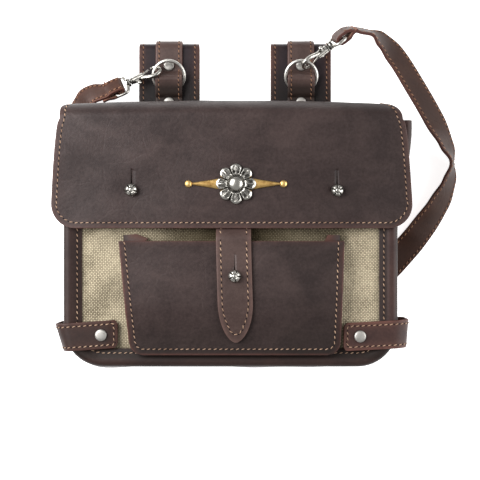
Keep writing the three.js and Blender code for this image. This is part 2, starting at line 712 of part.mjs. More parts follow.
function restHeight(roll) {
  const angle = degToRad(roll);
  return (strap.width * Math.sin(angle) + strap.thick * Math.cos(angle)) / 2;
}

// The end folded round an eye's bar with some slack: tail, round the bar, and away along the strap.
// Face is the side of the bar on which the strap leaves.
function foldedEnd(side, outward, face) {
  const turn = turnOf(side, side.eyeSpinDeg);
  const bar = new THREE.Vector3(-eye.reach, 0, 0).applyQuaternion(turn).add(hookOrigin(side));
  const away = new THREE.Vector3(-1, 0, 0).applyQuaternion(turn);
  const across = new THREE.Vector3(0, outward, 0).applyQuaternion(turn);
  const over = new THREE.Vector3().crossVectors(across, away).multiplyScalar(face);
  const radius = eye.wire + seat + strap.thick / 2 + strap.clear;
  const at = (e, m) => bar.clone().addScaledVector(away, e).addScaledVector(over, m);
  const near = (strap.thick + seat) / 2;
  const rows = [[strap.tail, -near], [strap.pinch, -near - strap.clear], [strap.pinch / 2, -radius]];
  for (const angle of spread(6, -90, 90).map(degToRad)) {
    rows.push([-strap.slack - radius * Math.cos(angle), radius * Math.sin(angle)]);
  }
  rows.push([strap.pinch / 2, radius], [strap.pinch, near + strap.clear]);
  return rows.map(([e, m], i) => ({
    point: at(e, m), across, width: lerp(strap.tailWidth, strap.endWidth, Math.min(1, i / 3)) }));
}

function strapStations() {
  const [left, right] = sides;
  const first = foldedEnd(right, 1, 1);
  const last = foldedEnd(left, -1, -1).reverse();
  const middle = strapRoute.map((row, i) => {
    const before = strapRoute[Math.max(0, i - 1)];
    const after = strapRoute[Math.min(strapRoute.length - 1, i + 1)];
    const along = new THREE.Vector2(after.x - before.x, after.y - before.y).normalize();
    const angle = degToRad(row.roll);
    const flat = Math.cos(angle);
    const across = new THREE.Vector3(along.y * flat, -along.x * flat, Math.sin(angle));
    const high = row.lift ?? restHeight(row.roll);
    const ease = Math.min(1, (Math.min(i, strapRoute.length - 1 - i) + 1) / 3);
    const width = lerp(strap.endWidth, strap.width, ease);
    return { point: new THREE.Vector3(row.x, row.y, high), across, width };
  });
  return [...first, ...middle, ...last];
}

function shoulderStrap() {
  const stations = strapStations();
  const smooth = (pick) => new THREE.CatmullRomCurve3(stations.map(pick), false, 'centripetal');
  const line = smooth((s) => s.point);
  const lean = stations.map((s) => s.across);
  const steps = 3 * (stations.length - 1);
  const rows = spread(steps, 0, 1).map((t) => {
    const spot = t * (stations.length - 1);
    const low = Math.min(Math.floor(spot), stations.length - 2);
    const share = smoothstep(spot - low, 0, 1);
    const along = line.getTangent(t);
    const across = lean[low].clone().lerp(lean[low + 1], share);
    across.addScaledVector(along, -across.dot(along)).normalize();
    const normal = new THREE.Vector3().crossVectors(across, along);
    const half = lerp(stations[low].width, stations[low + 1].width, share) / 2;
    const point = line.getPoint(t);
    const reach = Math.abs(across.z) * half + Math.abs(normal.z) * strap.thick / 2;
    point.z = Math.max(point.z, reach);
    const at = (n) => [-half, half].map((w) => point.clone().addScaledVector(across, w)
      .addScaledVector(normal, n * strap.thick / 2));
    return { outer: at(1), inner: at(-1) };
  });
  return wall(rows);
}

// Assembly

const pouch = new THREE.Group();
pouch.add(
  piece('back_flap', backFlap(), looks.leather),
  piece('gusset', gusset(), looks.leather),
  piece('front_panel', frontPanel(), looks.canvas),
  piece('pocket_panel', pocketPanel(), looks.leather),
  piece('pocket_gusset', pocketGusset(), looks.leather),
  piece('tongue', tongueStrap(), looks.strapLeather),
  piece('shoulder_strap', shoulderStrap(), looks.strapLeather),
);

const tongueStudMesh = piece('stud_tongue', studOn(
  pocketTop(tongue.studX, tongue.studY) + seat, tongueUnder(tongue.studY) + leather, 0), looks.silver);
tongueStudMesh.position.set(tongue.studX, tongue.studY, 0);
pouch.add(tongueStudMesh);

const badgeGroup = new THREE.Group();
badgeGroup.position.set(badge.x, badge.y, flapTop(badge.x) + seat);
badgeGroup.add(
  piece('badge_plate', badgePlate(), looks.brass),
  piece('badge_rosette', badgeRosette(), looks.silver),
);
pouch.add(badgeGroup);

for (const side of sides) {
  const stem = piece(`stud_${side.name}`, studOn(
    canvasTop(side.studX, side.studY) + seat, flapTop(side.studX), stud.flange), looks.silver);
  stem.position.set(side.studX, side.studY, 0);
  pouch.add(stem, piece(`corner_strap_${side.name}`, cornerStrapBand(side), looks.leather));

  const cornerRivet = piece(`corner_rivet_${side.name}`, rivetHead(cornerStrap.rivet), looks.silver);
  cornerRivet.position.set(side.rivetX, side.strapY, body.front + leather + 2 * seat);
  pouch.add(cornerRivet);

  pouch.add(
    piece(`belt_loop_${side.name}`, beltLoop(side), looks.leather),
    piece(`ring_tab_${side.name}`, ringTab(side), looks.strapLeather),
  );
  const tabFace = loop.high + 2 * seat + tab.thick;
  for (const [place, y] of [['upper', rivet.upperY], ['lower', rivet.lowerY]]) {
    const head = piece(`ring_rivet_${side.name}_${place}`, rivetHead(), looks.silver);
    head.position.set(side.loopX, y, tabFace);
    pouch.add(head);
  }

  const torus = new THREE.TorusGeometry(ring.radius, ring.wire, 7, 24);
  const ringMesh = piece(`ring_${side.name}`, torus, looks.silver);
  ringMesh.position.copy(ringCentre(side));
  ringMesh.rotation.x = degToRad(ring.tiltDeg);
  pouch.add(ringMesh);

  const eyeMesh = piece(`swivel_eye_${side.name}`, swivelEye(), looks.silver);
  eyeMesh.position.copy(hookOrigin(side));
  eyeMesh.quaternion.copy(turnOf(side, side.eyeSpinDeg));
  pouch.add(eyeMesh);

  const hookGroup = new THREE.Group();
  hookGroup.position.copy(hookOrigin(side));
  hookGroup.quaternion.copy(turnOf(side, side.hookSpinDeg));
  hookGroup.add(
    piece(`hook_body_${side.name}`, hookBody(), looks.silver),
    piece(`hook_gate_${side.name}`, hookGate(), looks.silver),
  );
  pouch.add(hookGroup);
}

// The origin goes under the middle of the whole part.
const middle = new THREE.Box3().setFromObject(pouch).getCenter(new THREE.Vector3());
pouch.position.set(-middle.x, -middle.y, 0);

export default pouch;
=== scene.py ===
import json
import math

import bpy
from mathutils import Matrix, Vector


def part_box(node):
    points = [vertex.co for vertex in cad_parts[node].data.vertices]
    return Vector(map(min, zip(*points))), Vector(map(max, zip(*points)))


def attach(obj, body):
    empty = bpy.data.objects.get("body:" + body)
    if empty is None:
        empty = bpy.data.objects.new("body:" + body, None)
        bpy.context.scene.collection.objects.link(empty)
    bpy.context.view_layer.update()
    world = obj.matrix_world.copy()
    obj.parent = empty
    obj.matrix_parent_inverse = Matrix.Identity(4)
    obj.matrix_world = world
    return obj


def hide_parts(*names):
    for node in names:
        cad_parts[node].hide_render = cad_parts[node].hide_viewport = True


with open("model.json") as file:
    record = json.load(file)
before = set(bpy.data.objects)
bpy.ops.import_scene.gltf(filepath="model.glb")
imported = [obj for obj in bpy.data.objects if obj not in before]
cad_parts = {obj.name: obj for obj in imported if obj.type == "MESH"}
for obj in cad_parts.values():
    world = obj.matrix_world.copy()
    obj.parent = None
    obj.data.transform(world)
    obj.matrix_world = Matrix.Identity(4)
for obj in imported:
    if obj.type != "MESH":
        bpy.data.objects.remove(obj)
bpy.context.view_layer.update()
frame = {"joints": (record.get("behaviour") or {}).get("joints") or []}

mm = 0.001
gussetLow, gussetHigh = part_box("gusset")
pouchX = (gussetLow[0] + gussetHigh[0]) / 2  # the pouch's centre line
pouchY = gussetLow[1]  # its bottom edge
signs = {"left": -1, "right": 1}


# Shapes are worked out in millimetres from the centre line, the bottom edge and the table.
def place(point):
    return Vector((pouchX + point[0] * mm, pouchY + point[1] * mm, point[2] * mm))


def toPouch(point):
    return Vector(((point[0] - pouchX) / mm, (point[1] - pouchY) / mm, point[2] / mm))


def nodeBox(node):
    low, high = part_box(node)
    return toPouch(low), toPouch(high)


def lerp(a, b, share):
    return a + (b - a) * share


def clamp01(value):
    return min(1.0, max(0.0, value))


def smooth(value, low, high):
    t = clamp01((value - low) / (high - low))
    return t * t * (3 - 2 * t)


def hump(value, middle, reach):
    return math.exp(-(((value - middle) / reach) ** 2))


def spread(count, low, high):
    return [lerp(low, high, i / count) for i in range(count + 1)]


def angles(count, low, high):
    return [math.radians(degrees) for degrees in spread(count, low, high)]


def seamColumns(count, width, edge=1.1):
    # shares across a width, with one column close to each edge
    near = edge / width
    return [0] + spread(count, near, 1 - near) + [1]


def roundInset(distance, corner):
    # how far a round corner stands in at a distance from its end
    if distance >= corner:
        return 0
    return corner - math.sqrt(corner ** 2 - (corner - max(0, distance)) ** 2)


def cornerRows(corner, count=9, least=0.6):
    # rows up a round corner, none so close to the foot that the bevel runs over it
    rows = [corner * (1 - math.cos(angle)) for angle in angles(count, 0, 90)]
    return [row for row in rows if row == 0 or row > least]


def runLengths(points):
    runs = [0]
    for before, after in zip(points, points[1:]):
        runs.append(runs[-1] + (after - before).length)
    return runs


def leftward(path, i):
    # the direction to the left of a plane line at one of its points
    along = (path[min(i + 1, len(path) - 1)] - path[max(i - 1, 0)]).normalized()
    return Vector((-along.y, along.x))


def offsetLine(path, distance):
    return [point + leftward(path, i) * distance for i, point in enumerate(path)]


def evenLine(path, step):
    # the same plane line with points at even distances
    runs = runLengths(path)
    made, k = [], 0
    for run in spread(max(2, round(runs[-1] / step)), 0, runs[-1]):
        while k < len(path) - 2 and runs[k + 1] < run:
            k += 1
        made.append(path[k].lerp(path[k + 1], (run - runs[k]) / max(1e-9, runs[k + 1] - runs[k])))
    return made


def splineLine(points, count):
    # smooth plane line through a few points
    made = []
    for i in range(len(points) - 1):
        before = points[max(0, i - 1)]
        after = points[min(len(points) - 1, i + 2)]
        a, b = points[i], points[i + 1]
        for t in spread(count, 0, 1)[:-1]:
            made.append(a * 1.0 + (b - before) * 0.5 * t
                        + (before * 2 - a * 5 + b * 4 - after) * 0.5 * t * t
                        + (a * 3 - before - b * 3 + after) * 0.5 * t ** 3)
    return made + [points[-1]]


def bezier(a, b, c, d, count):
    return [a * (1 - t) ** 3 + b * 3 * t * (1 - t) ** 2 + c * 3 * t * t * (1 - t) + d * t ** 3
            for t in spread(count, 0, 1)]


def uStations(corners, radius, step, turn=12):
    # down the left, round the foot, up the right: points with their inward direction
    topLeft, footLeft, footRight, topRight = [Vector(c) for c in corners]
    quarterPull = 0.5523  # makes a quarter round

    def toward(a, b):
        return a + (b - a).normalized() * radius

    def line(a, b):
        return [a.lerp(b, t) for t in spread(max(2, round((b - a).length / step)), 0, 1)]

    def bow(a, corner, b):
        return bezier(a, a.lerp(corner, quarterPull), b.lerp(corner, quarterPull), b, turn)
    stops = [toward(footLeft, topLeft), toward(footLeft, footRight), toward(footRight, footLeft),
             toward(footRight, topRight)]
    points = line(topLeft, stops[0]) + bow(stops[0], footLeft, stops[1])[1:]
    points += line(stops[1], stops[2])[1:] + bow(stops[2], footRight, stops[3])[1:]
    points += line(stops[3], topRight)[1:]
    return [(point, leftward(points, i)) for i, point in enumerate(points)]


# node building

def feed(tree, socket, value):
    if isinstance(value, bpy.types.NodeSocket):
        tree.links.new(value, socket)
    else:
        socket.default_value = value


def socketOf(sockets, identifier):
    return next(socket for socket in sockets if socket.identifier == identifier)


def addNode(tree, kind, sockets=None, **settings):
    made = tree.nodes.new(kind)
    for key, value in settings.items():
        setattr(made, key, value)
    for key, value in (sockets or {}).items():
        feed(tree, made.inputs[key], value)
    return made


def addMath(tree, operation, a, b=0.0, clamp=False):
    return addNode(tree, "ShaderNodeMath", {0: a, 1: b}, operation=operation, use_clamp=clamp).outputs[0]


def addMix(tree, share, a, b, kind="RGBA", suffix="Color"):
    mix = addNode(tree, "ShaderNodeMix", data_type=kind)
    for key, value in (("Factor_Float", share), ("A_" + suffix, a), ("B_" + suffix, b)):
        feed(tree, socketOf(mix.inputs, key), value)
    return socketOf(mix.outputs, "Result_" + suffix)


def addRange(tree, value, fromLow, fromHigh, toLow=0.0, toHigh=1.0):
    return addNode(tree, "ShaderNodeMapRange", {
        "Value": value, "From Min": fromLow, "From Max": fromHigh,
        "To Min": toLow, "To Max": toHigh}).outputs[0]


def addNoise(tree, spot, scale, detail, **more):
    sockets = {"Vector": spot, "Scale": scale, "Detail": detail, **more}
    return addNode(tree, "ShaderNodeTexNoise", sockets).outputs


def pointMask(tree, name):
    return addNode(tree, "ShaderNodeAttribute", attribute_name=name).outputs["Fac"]


def newGroup(name, kind, inputs, outputs):
    # inputs are (label, kind), with a value where no piece sets its own
    tree = bpy.data.node_groups.new(name, kind)
    for label, socketKind, *value in inputs:
        socket = tree.interface.new_socket(name=label, in_out="INPUT", socket_type=socketKind)
        if value:
            socket.default_value = value[0]
    for label, socketKind in outputs:
        tree.interface.new_socket(name=label, in_out="OUTPUT", socket_type=socketKind)
    return tree, tree.nodes.new("NodeGroupInput").outputs, tree.nodes.new("NodeGroupOutput").inputs


def rgb(red, green, blue):
    # a colour as it is seen on a screen, 0 to 255, turned to linear light
    def linear(value):
        share = value / 255
        return share / 12.92 if share <= 0.04045 else ((share + 0.055) / 1.055) ** 2.4
    return (linear(red), linear(green), linear(blue), 1)


# finishes

def hideGroup():
    # waxed hide: clouds of pull-up, fine grain, a few light creases, worn rims, and painted shade where a
    # piece marks it
    tree, given, out = newGroup("waxedHide", "ShaderNodeTree", [
        ("Hide", "NodeSocketColor"), ("Pull-up", "NodeSocketColor"), ("Worn Rim", "NodeSocketColor"),
        ("Mottle", "NodeSocketFloat"), ("Creases", "NodeSocketFloat"), ("Gloss", "NodeSocketFloat")],
        [("Color", "NodeSocketColor"), ("Roughness", "NodeSocketFloat"), ("Height", "NodeSocketFloat")])
    spot = addNode(tree, "ShaderNodeTexCoord").outputs["Object"]
    clouds = addNoise(tree, spot, 26, 5, Roughness=0.6, Distortion=0.6)[0]
    cloudMask = addRange(tree, clouds, 0.34, 0.7)
    stretched = addNode(tree, "ShaderNodeMapping", {"Vector": spot, "Scale": (30, 140, 30)}).outputs[0]
    streakMask = addRange(tree, addNoise(tree, stretched, 1, 3)[0], 0.45, 0.75)
    warped = addMix(tree, 0.02, spot, addNoise(tree, spot, 40, 2)["Color"], "VECTOR", "Vector")
    cells = addNode(tree, "ShaderNodeTexVoronoi", {"Vector": warped, "Scale": 34},
                    feature="DISTANCE_TO_EDGE").outputs["Distance"]
    creaseLine = addRange(tree, cells, 0.0, 0.035, 1.0, 0.0)
    creaseMask = addMath(tree, "MULTIPLY", creaseLine,
                         addMath(tree, "MULTIPLY", cloudMask, given["Creases"]))
    grain = addRange(tree, addNoise(tree, spot, 520, 2, Roughness=0.7)[0], 0.3, 0.7, -0.24, 0.24)
    cloudy = addMath(tree, "ADD", addMath(tree, "MULTIPLY", cloudMask, 0.8),
                     addMath(tree, "MULTIPLY", streakMask, 0.22))
    lift = addMath(tree, "MULTIPLY", addMath(tree, "ADD", cloudy, grain), given["Mottle"], clamp=True)
    mottled = addMix(tree, lift, given["Hide"], given["Pull-up"])
    creased = addMix(tree, creaseMask, mottled, given["Pull-up"])
    patches = addRange(tree, addNoise(tree, spot, 160, 3)[0], 0.3, 0.62, 0.5, 1.0)
    rimMask = addMath(tree, "MULTIPLY", pointMask(tree, "rim"), patches, clamp=True)
    worn = addMix(tree, rimMask, creased, given["Worn Rim"])
    # painted shade: the colour is drawn toward black by the marked amount
    shaded = addMix(tree, 0.75, worn, (0.004, 0.003, 0.002, 1))
    tree.links.new(addMix(tree, pointMask(tree, "paintedShade"), worn, shaded), out["Color"])
    pores = addNode(tree, "ShaderNodeTexVoronoi", {"Vector": warped, "Scale": 900},
                    feature="SMOOTH_F1").outputs[0]
    fine = addNoise(tree, spot, 420, 4)[0]
    relief = addMath(tree, "ADD", addMath(tree, "MULTIPLY", pores, 0.5), fine)
    creaseDepth = addMath(tree, "MULTIPLY", creaseLine, 0.3)
    tree.links.new(addMath(tree, "SUBTRACT", relief, creaseDepth), out["Height"])
    rough = addMath(tree, "ADD", given["Gloss"], addRange(tree, clouds, 0.3, 0.7, 0.08, -0.06))
    tree.links.new(addMath(tree, "ADD", rough, addMath(tree, "MULTIPLY", fine, 0.06)), out["Roughness"])
    return tree


def weaveGroup():
    # plain weave: thick threads over and under, dark where they dip, and painted shade where the cloth marks
    # it
    tree, given, out = newGroup("canvasWeave", "ShaderNodeTree", [
        ("Pitch", "NodeSocketFloat", 0.0012), ("Thread", "NodeSocketColor", rgb(198, 185, 158)),
        ("Gap", "NodeSocketColor", rgb(46, 36, 22)), ("Soiled", "NodeSocketColor", rgb(60, 51, 34)),
        ("Slub", "NodeSocketFloat", 0.5)],
        [("Color", "NodeSocketColor"), ("Height", "NodeSocketFloat")])
    spot = addNode(tree, "ShaderNodeTexCoord").outputs["Object"]
    wander = addNoise(tree, spot, 90, 2)["Color"]
    pulled = addNode(tree, "ShaderNodeVectorMath", {0: wander, 1: (0.0016, 0.0016, 0)},
                     operation="MULTIPLY").outputs[0]
    moved = addNode(tree, "ShaderNodeVectorMath", {0: spot, 1: pulled}, operation="ADD").outputs[0]
    axes = addNode(tree, "ShaderNodeSeparateXYZ", {0: moved}).outputs
    across = addMath(tree, "DIVIDE", axes["X"], given["Pitch"])
    along = addMath(tree, "DIVIDE", axes["Y"], given["Pitch"])
    crossing = addMath(tree, "ADD", addMath(tree, "FLOOR", across), addMath(tree, "FLOOR", along))
    checker = addMath(tree, "FLOORED_MODULO", crossing, 2.0)

    def thread(run, cross):
        # round across the thread, arched along it
        rounded = addMath(tree, "SINE", addMath(tree, "MULTIPLY", addMath(tree, "FRACT", cross), math.pi))
        arched = addMath(tree, "SINE", addMath(tree, "MULTIPLY", addMath(tree, "FRACT", run), math.pi))
        return addMath(tree, "MULTIPLY", addMath(tree, "POWER", rounded, 0.35),
                       addRange(tree, arched, 0, 1, 0.6, 1))
    warp = addMath(tree, "MULTIPLY", thread(along, across), checker)
    weft = addMath(tree, "MULTIPLY", thread(across, along), addMath(tree, "SUBTRACT", 1.0, checker))
    height = addMath(tree, "ADD", warp, addMath(tree, "MULTIPLY", weft, 0.62))  # the weft lies deeper
    slubs = addNoise(tree, spot, 320, 3)[0]
    shade = addMath(tree, "MULTIPLY", addMath(tree, "SUBTRACT", slubs, 0.5), given["Slub"])
    clouds = addRange(tree, addNoise(tree, spot, 42, 2)[0], 0.3, 0.7, -0.14, 0.14)
    tone = addMath(tree, "ADD", shade, clouds)
    lit = addMath(tree, "ADD", addRange(tree, height, 0.05, 1.0), tone, clamp=True)
    clean = addMix(tree, lit, given["Gap"], given["Thread"])
    # painted shade: a darker copy of the weave, mixed in by the marked amount
    shaded = addMix(tree, lit, (0.02, 0.015, 0.008, 1), given["Soiled"])
    tree.links.new(addMix(tree, pointMask(tree, "paintedShade"), clean, shaded), out["Color"])
    tree.links.new(height, out["Height"])
    return tree


def castingGroup():
    # aged metal: bright on the high parts, dark where the mesh marks recess patina and painted shade
    tree, given, out = newGroup("agedMetal", "ShaderNodeTree", [
        ("Bright", "NodeSocketColor"), ("Dark", "NodeSocketColor"),
        ("Tarnish", "NodeSocketFloat"), ("Polish", "NodeSocketFloat")],
        [("Color", "NodeSocketColor"), ("Roughness", "NodeSocketFloat"), ("Height", "NodeSocketFloat")])
    spot = addNode(tree, "ShaderNodeTexCoord").outputs["Object"]
    stains = addNoise(tree, spot, 330, 4)[0]
    stainMask = addMath(tree, "MULTIPLY", addRange(tree, stains, 0.42, 0.72), given["Tarnish"])
    dark = addMath(tree, "ADD", pointMask(tree, "patinaAndShade"), stainMask, clamp=True)
    rough = addMath(tree, "ADD", given["Polish"], addMath(tree, "MULTIPLY", dark, 0.3))
    tree.links.new(addMix(tree, dark, given["Bright"], given["Dark"]), out["Color"])
    tree.links.new(rough, out["Roughness"])
    tree.links.new(stains, out["Height"])
    return tree


def newMaterial(name, group, look, fixed):
    # look holds the group's values, colours as seen, and the bump's strength and depth in millimetres
    material = bpy.data.materials.new(name)
    material.use_nodes = True
    tree = material.node_tree
    shader = tree.nodes["Principled BSDF"]
    finish = addNode(tree, "ShaderNodeGroup", node_tree=group)
    for socket in finish.inputs:
        if socket.name in look:
            value = look[socket.name]
            socket.default_value = rgb(*value) if isinstance(value, tuple) else value
    tree.links.new(finish.outputs["Color"], shader.inputs["Base Color"])
    if "Roughness" in finish.outputs:
        tree.links.new(finish.outputs["Roughness"], shader.inputs["Roughness"])
    strength, depth = look["bump"]
    relief = addNode(tree, "ShaderNodeBump", {
        "Strength": strength, "Distance": depth * mm, "Height": finish.outputs["Height"]})
    tree.links.new(relief.outputs[0], shader.inputs["Normal"])
    for label, value in fixed.items():
        shader.inputs[label].default_value = value
    return material


hideFinishes = {
    "darkHide": {"Hide": (37, 27, 26), "Pull-up": (64, 52, 50), "Worn Rim": (76, 54, 49),
                 "Mottle": 0.75, "Creases": 0.35, "Gloss": 0.45, "bump": (0.3, 0.4)},
    "pocketHide": {"Hide": (37, 27, 26), "Pull-up": (64, 52, 50), "Worn Rim": (96, 60, 53),
                   "Mottle": 0.75, "Creases": 0.35, "Gloss": 0.45, "bump": (0.3, 0.4)},
    "borderHide": {"Hide": (46, 31, 29), "Pull-up": (74, 54, 49), "Worn Rim": (92, 60, 52),
                   "Mottle": 0.6, "Creases": 0.12, "Gloss": 0.44, "bump": (0.22, 0.35)},
    "strapHide": {"Hide": (45, 25, 18), "Pull-up": (67, 42, 31), "Worn Rim": (86, 53, 41),
                  "Mottle": 0.65, "Creases": 0.14, "Gloss": 0.46, "bump": (0.26, 0.35)},
    "loopHide": {"Hide": (24, 17, 20), "Pull-up": (41, 31, 36), "Worn Rim": (78, 52, 44),
                 "Mottle": 0.7, "Creases": 0.1, "Gloss": 0.44, "bump": (0.22, 0.35)},
    "tongueHide": {"Hide": (55, 42, 39), "Pull-up": (82, 67, 63), "Worn Rim": (90, 69, 63),
                   "Mottle": 0.6, "Creases": 0.12, "Gloss": 0.4, "bump": (0.24, 0.35)},
    "rawEdge": {"Hide": (48, 24, 20), "Pull-up": (74, 41, 35), "Worn Rim": (72, 40, 34),
                "Mottle": 0.9, "Creases": 0.0, "Gloss": 0.62, "bump": (0.5, 0.4)},
    "fleshSide": {"Hide": (96, 68, 57), "Pull-up": (146, 112, 96), "Worn Rim": (128, 92, 78),
                  "Mottle": 0.9, "Creases": 0.0, "Gloss": 0.8, "bump": (0.6, 0.5)},
    "tanThread": {"Hide": (124, 97, 78), "Pull-up": (190, 160, 134), "Worn Rim": (156, 126, 104),
                  "Mottle": 1.0, "Creases": 0.0, "Gloss": 0.6, "bump": (0.4, 0.2)},
    "rustThread": {"Hide": (112, 80, 60), "Pull-up": (166, 126, 98), "Worn Rim": (138, 102, 78),
                   "Mottle": 0.9, "Creases": 0.0, "Gloss": 0.6, "bump": (0.4, 0.2)},
    "needleHoleShade": {"Hide": (16, 11, 10), "Pull-up": (26, 18, 16), "Worn Rim": (22, 15, 14),
                   "Mottle": 0.4, "Creases": 0.0, "Gloss": 0.8, "bump": (0.1, 0.1)},
}
metalFinishes = {
    "antiqueSilver": {"Bright": (188, 185, 178), "Dark": (30, 28, 26), "Tarnish": 0.48, "Polish": 0.23,
                      "bump": (0.12, 0.15)},
    "dullNickel": {"Bright": (168, 165, 160), "Dark": (92, 88, 84), "Tarnish": 0.4, "Polish": 0.5,
                   "bump": (0.1, 0.12)},
    "polishedNickel": {"Bright": (200, 197, 191), "Dark": (104, 100, 95), "Tarnish": 0.25, "Polish": 0.31,
                       "bump": (0.04, 0.1)},
    "agedBrass": {"Bright": (226, 190, 122), "Dark": (96, 62, 22), "Tarnish": 0.5, "Polish": 0.36,
                  "bump": (0.12, 0.15)},
}
hide, weave, casting = hideGroup(), weaveGroup(), castingGroup()
finishes = {}
for finishName, look in hideFinishes.items():
    finishes[finishName] = newMaterial(finishName, hide, look, {"Specular IOR Level": 0.2})
finishes["canvas"] = newMaterial("canvas", weave, {"bump": (0.8, 0.7)},
                                 {"Roughness": 0.92, "Specular IOR Level": 0.1})
for finishName, look in metalFinishes.items():
    finishes[finishName] = newMaterial(finishName, casting, look, {"Metallic": 1.0})


def hideLooks(finishName):
    # the grain side, the cut edge and the flesh side
    return [finishes[finishName], finishes["rawEdge"], finishes["fleshSide"]]


print("finishes ready")


# meshes

def newObject(name, verts, faces, looks):
    mesh = bpy.data.meshes.new(name)
    mesh.from_pydata(verts, [], faces)
    for look in looks:
        mesh.materials.append(look)
    mesh.shade_smooth()
    made = bpy.data.objects.new(name, mesh)
    bpy.context.scene.collection.objects.link(made)
    return made


def markPoints(made, name, values):
    layer = made.data.attributes.new(name, "FLOAT", "POINT")
    layer.data.foreach_set("value", values)


def markPaintedShade(made, rule):
    # paints shade on a piece by a rule on the place of each point
    markPoints(made, "paintedShade", [rule(*toPouch(vertex.co)) for vertex in made.data.vertices])


def bakePlain(made):
    # modifiers become a plain mesh, kept at the origin
    graph = bpy.context.evaluated_depsgraph_get()
    plain = bpy.data.meshes.new_from_object(made.evaluated_get(graph), preserve_all_data_layers=True,
                                            depsgraph=graph)
    made.modifiers.clear()
    made.data = plain
    plain.name = made.name
    return made


def cutOut(made, cutters):
    # takes the cutters' shapes out of a piece and lets them go
    for cutter in cutters:
        cut = made.modifiers.new("cut", "BOOLEAN")
        cut.operation = "DIFFERENCE"
        cut.solver = "EXACT"
        cut.object = cutter
    bakePlain(made)
    for cutter in cutters:
        bpy.data.objects.remove(cutter)


def settle(made, nodes=(), body="pouch"):
    if nodes:
        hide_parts(*nodes)
    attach(made, body)
    return made


def addBevel(made, width, angle=50):
    bevel = made.modifiers.new("rounded", "BEVEL")
    bevel.width = width * mm
    bevel.segments = 2
    bevel.limit_method = "ANGLE"
    bevel.angle_limit = math.radians(angle)
    bevel.use_clamp_overlap = False


def rimShares(rows, fade):
    # 1 at the cut edge of a sheet, falling off inward
    middle = len(rows[0]) // 2
    down = runLengths([row[middle] for row in rows])
    shares = []
    for row, far in zip(rows, down):
        over = runLengths(row)
        for run in over:
            near = min(run, over[-1] - run, far, down[-1] - far)
            shares.append(math.exp(-near / fade))
    return shares


def sheetNormals(rows, flip):
    last, wide = len(rows) - 1, len(rows[0]) - 1
    made = []
    for r, row in enumerate(rows):
        line = []
        for c in range(len(row)):
            over = row[min(c + 1, wide)] - row[max(c - 1, 0)]
            down = rows[min(r + 1, last)][c] - rows[max(r - 1, 0)][c]
            line.append(over.cross(down).normalized() * flip)
        made.append(line)
    return made


def sheetPiece(name, rows, thick, looks, facing, cutters=(), rimRound=0.5, fade=2.4):
    # a cut sheet: rows of points over its outer face, thickness inward; facing is (row, outward)
    rows = [[Vector(p) for p in row] for row in rows]
    high, wide = len(rows), len(rows[0])
    middle = sheetNormals(rows, 1)[facing[0]][wide // 2]
    flip = 1 if middle.dot(Vector(facing[1])) > 0 else -1
    inner = [[p - n * thick for p, n in zip(row, normals)]
             for row, normals in zip(rows, sheetNormals(rows, flip))]
    verts = [place(p) for sheet in (rows, inner) for row in sheet for p in row]
    under = high * wide
    outerFaces = [(r * wide + c, r * wide + c + 1, (r + 1) * wide + c + 1, (r + 1) * wide + c)
                  for r in range(high - 1) for c in range(wide - 1)]
    innerFaces = [tuple(i + under for i in reversed(face)) for face in outerFaces]
    border = list(range(wide)) + [r * wide + wide - 1 for r in range(1, high)]
    border += [(high - 1) * wide + c for c in range(wide - 2, -1, -1)]
    border += [r * wide for r in range(high - 2, 0, -1)]
    rimFaces = [(b, a, a + under, b + under) for a, b in zip(border, border[1:] + border[:1])]
    faces = outerFaces + innerFaces + rimFaces
    if flip < 0:
        faces = [tuple(reversed(face)) for face in faces]
    made = newObject(name, verts, faces, looks)
    if len(looks) > 2:
        kinds = [0] * len(outerFaces) + [2] * len(innerFaces) + [1] * len(rimFaces)
        made.data.polygons.foreach_set("material_index", kinds)
    markPoints(made, "rim", rimShares(rows, fade) * 2)
    addBevel(made, rimRound)
    cutOut(made, cutters)
    return made


def facedOut(verts, faces):
    # faces of a closed shape, turned round if they point inward
    volume = 0
    for face in faces:
        for i in range(1, len(face) - 1):
            volume += verts[face[0]].dot(verts[face[i]].cross(verts[face[i + 1]]))
    return [tuple(reversed(face)) for face in faces] if volume < 0 else faces


def prismFaces(count):
    # two ends of count points, one after the other, and the sides between them
    faces = [tuple(range(count)), tuple(reversed(range(count, 2 * count)))]
    return faces + [(i, i + count, (i + 1) % count + count, (i + 1) % count) for i in range(count)]


def channelPiece(name, stations, section, looks, sharp=48):
    # a folded strip: the section's outer and inner lines run along the stations
    rings = [section(point) for point, inward in stations]
    count = len(rings[0][0])
    rim = 2 * count
    verts, edges = [], []
    for (point, inward), (outer, inner) in zip(stations, rings):
        ring = list(outer) + list(reversed(inner))
        for k, (n, z) in enumerate(ring):
            verts.append(place((point[0] + n * inward[0], point[1] + n * inward[1], z)))
            edges.append(1 if k in (0, count - 1, count, rim - 1) else 0)
    sides = (len(rings) - 1) * rim
    faces = [(r * rim + k, r * rim + (k + 1) % rim, (r + 1) * rim + (k + 1) % rim, (r + 1) * rim + k)
             for r in range(len(rings) - 1) for k in range(rim)]
    for k in range(count - 1):
        far = rim - 1 - k
        faces.append((k, far, far - 1, k + 1))
        faces.append((sides + k, sides + k + 1, sides + far - 1, sides + far))
    made = newObject(name, verts, facedOut(verts, faces), looks)
    for i, polygon in enumerate(made.data.polygons):
        polygon.material_index = 1 if i >= sides or i % rim in (count - 1, rim - 1) else 0
    markPoints(made, "rim", edges)
    made.data.set_sharp_from_angle(angle=math.radians(sharp))
    return made


# parts of turned and drawn metal, gathered into one mesh for each piece

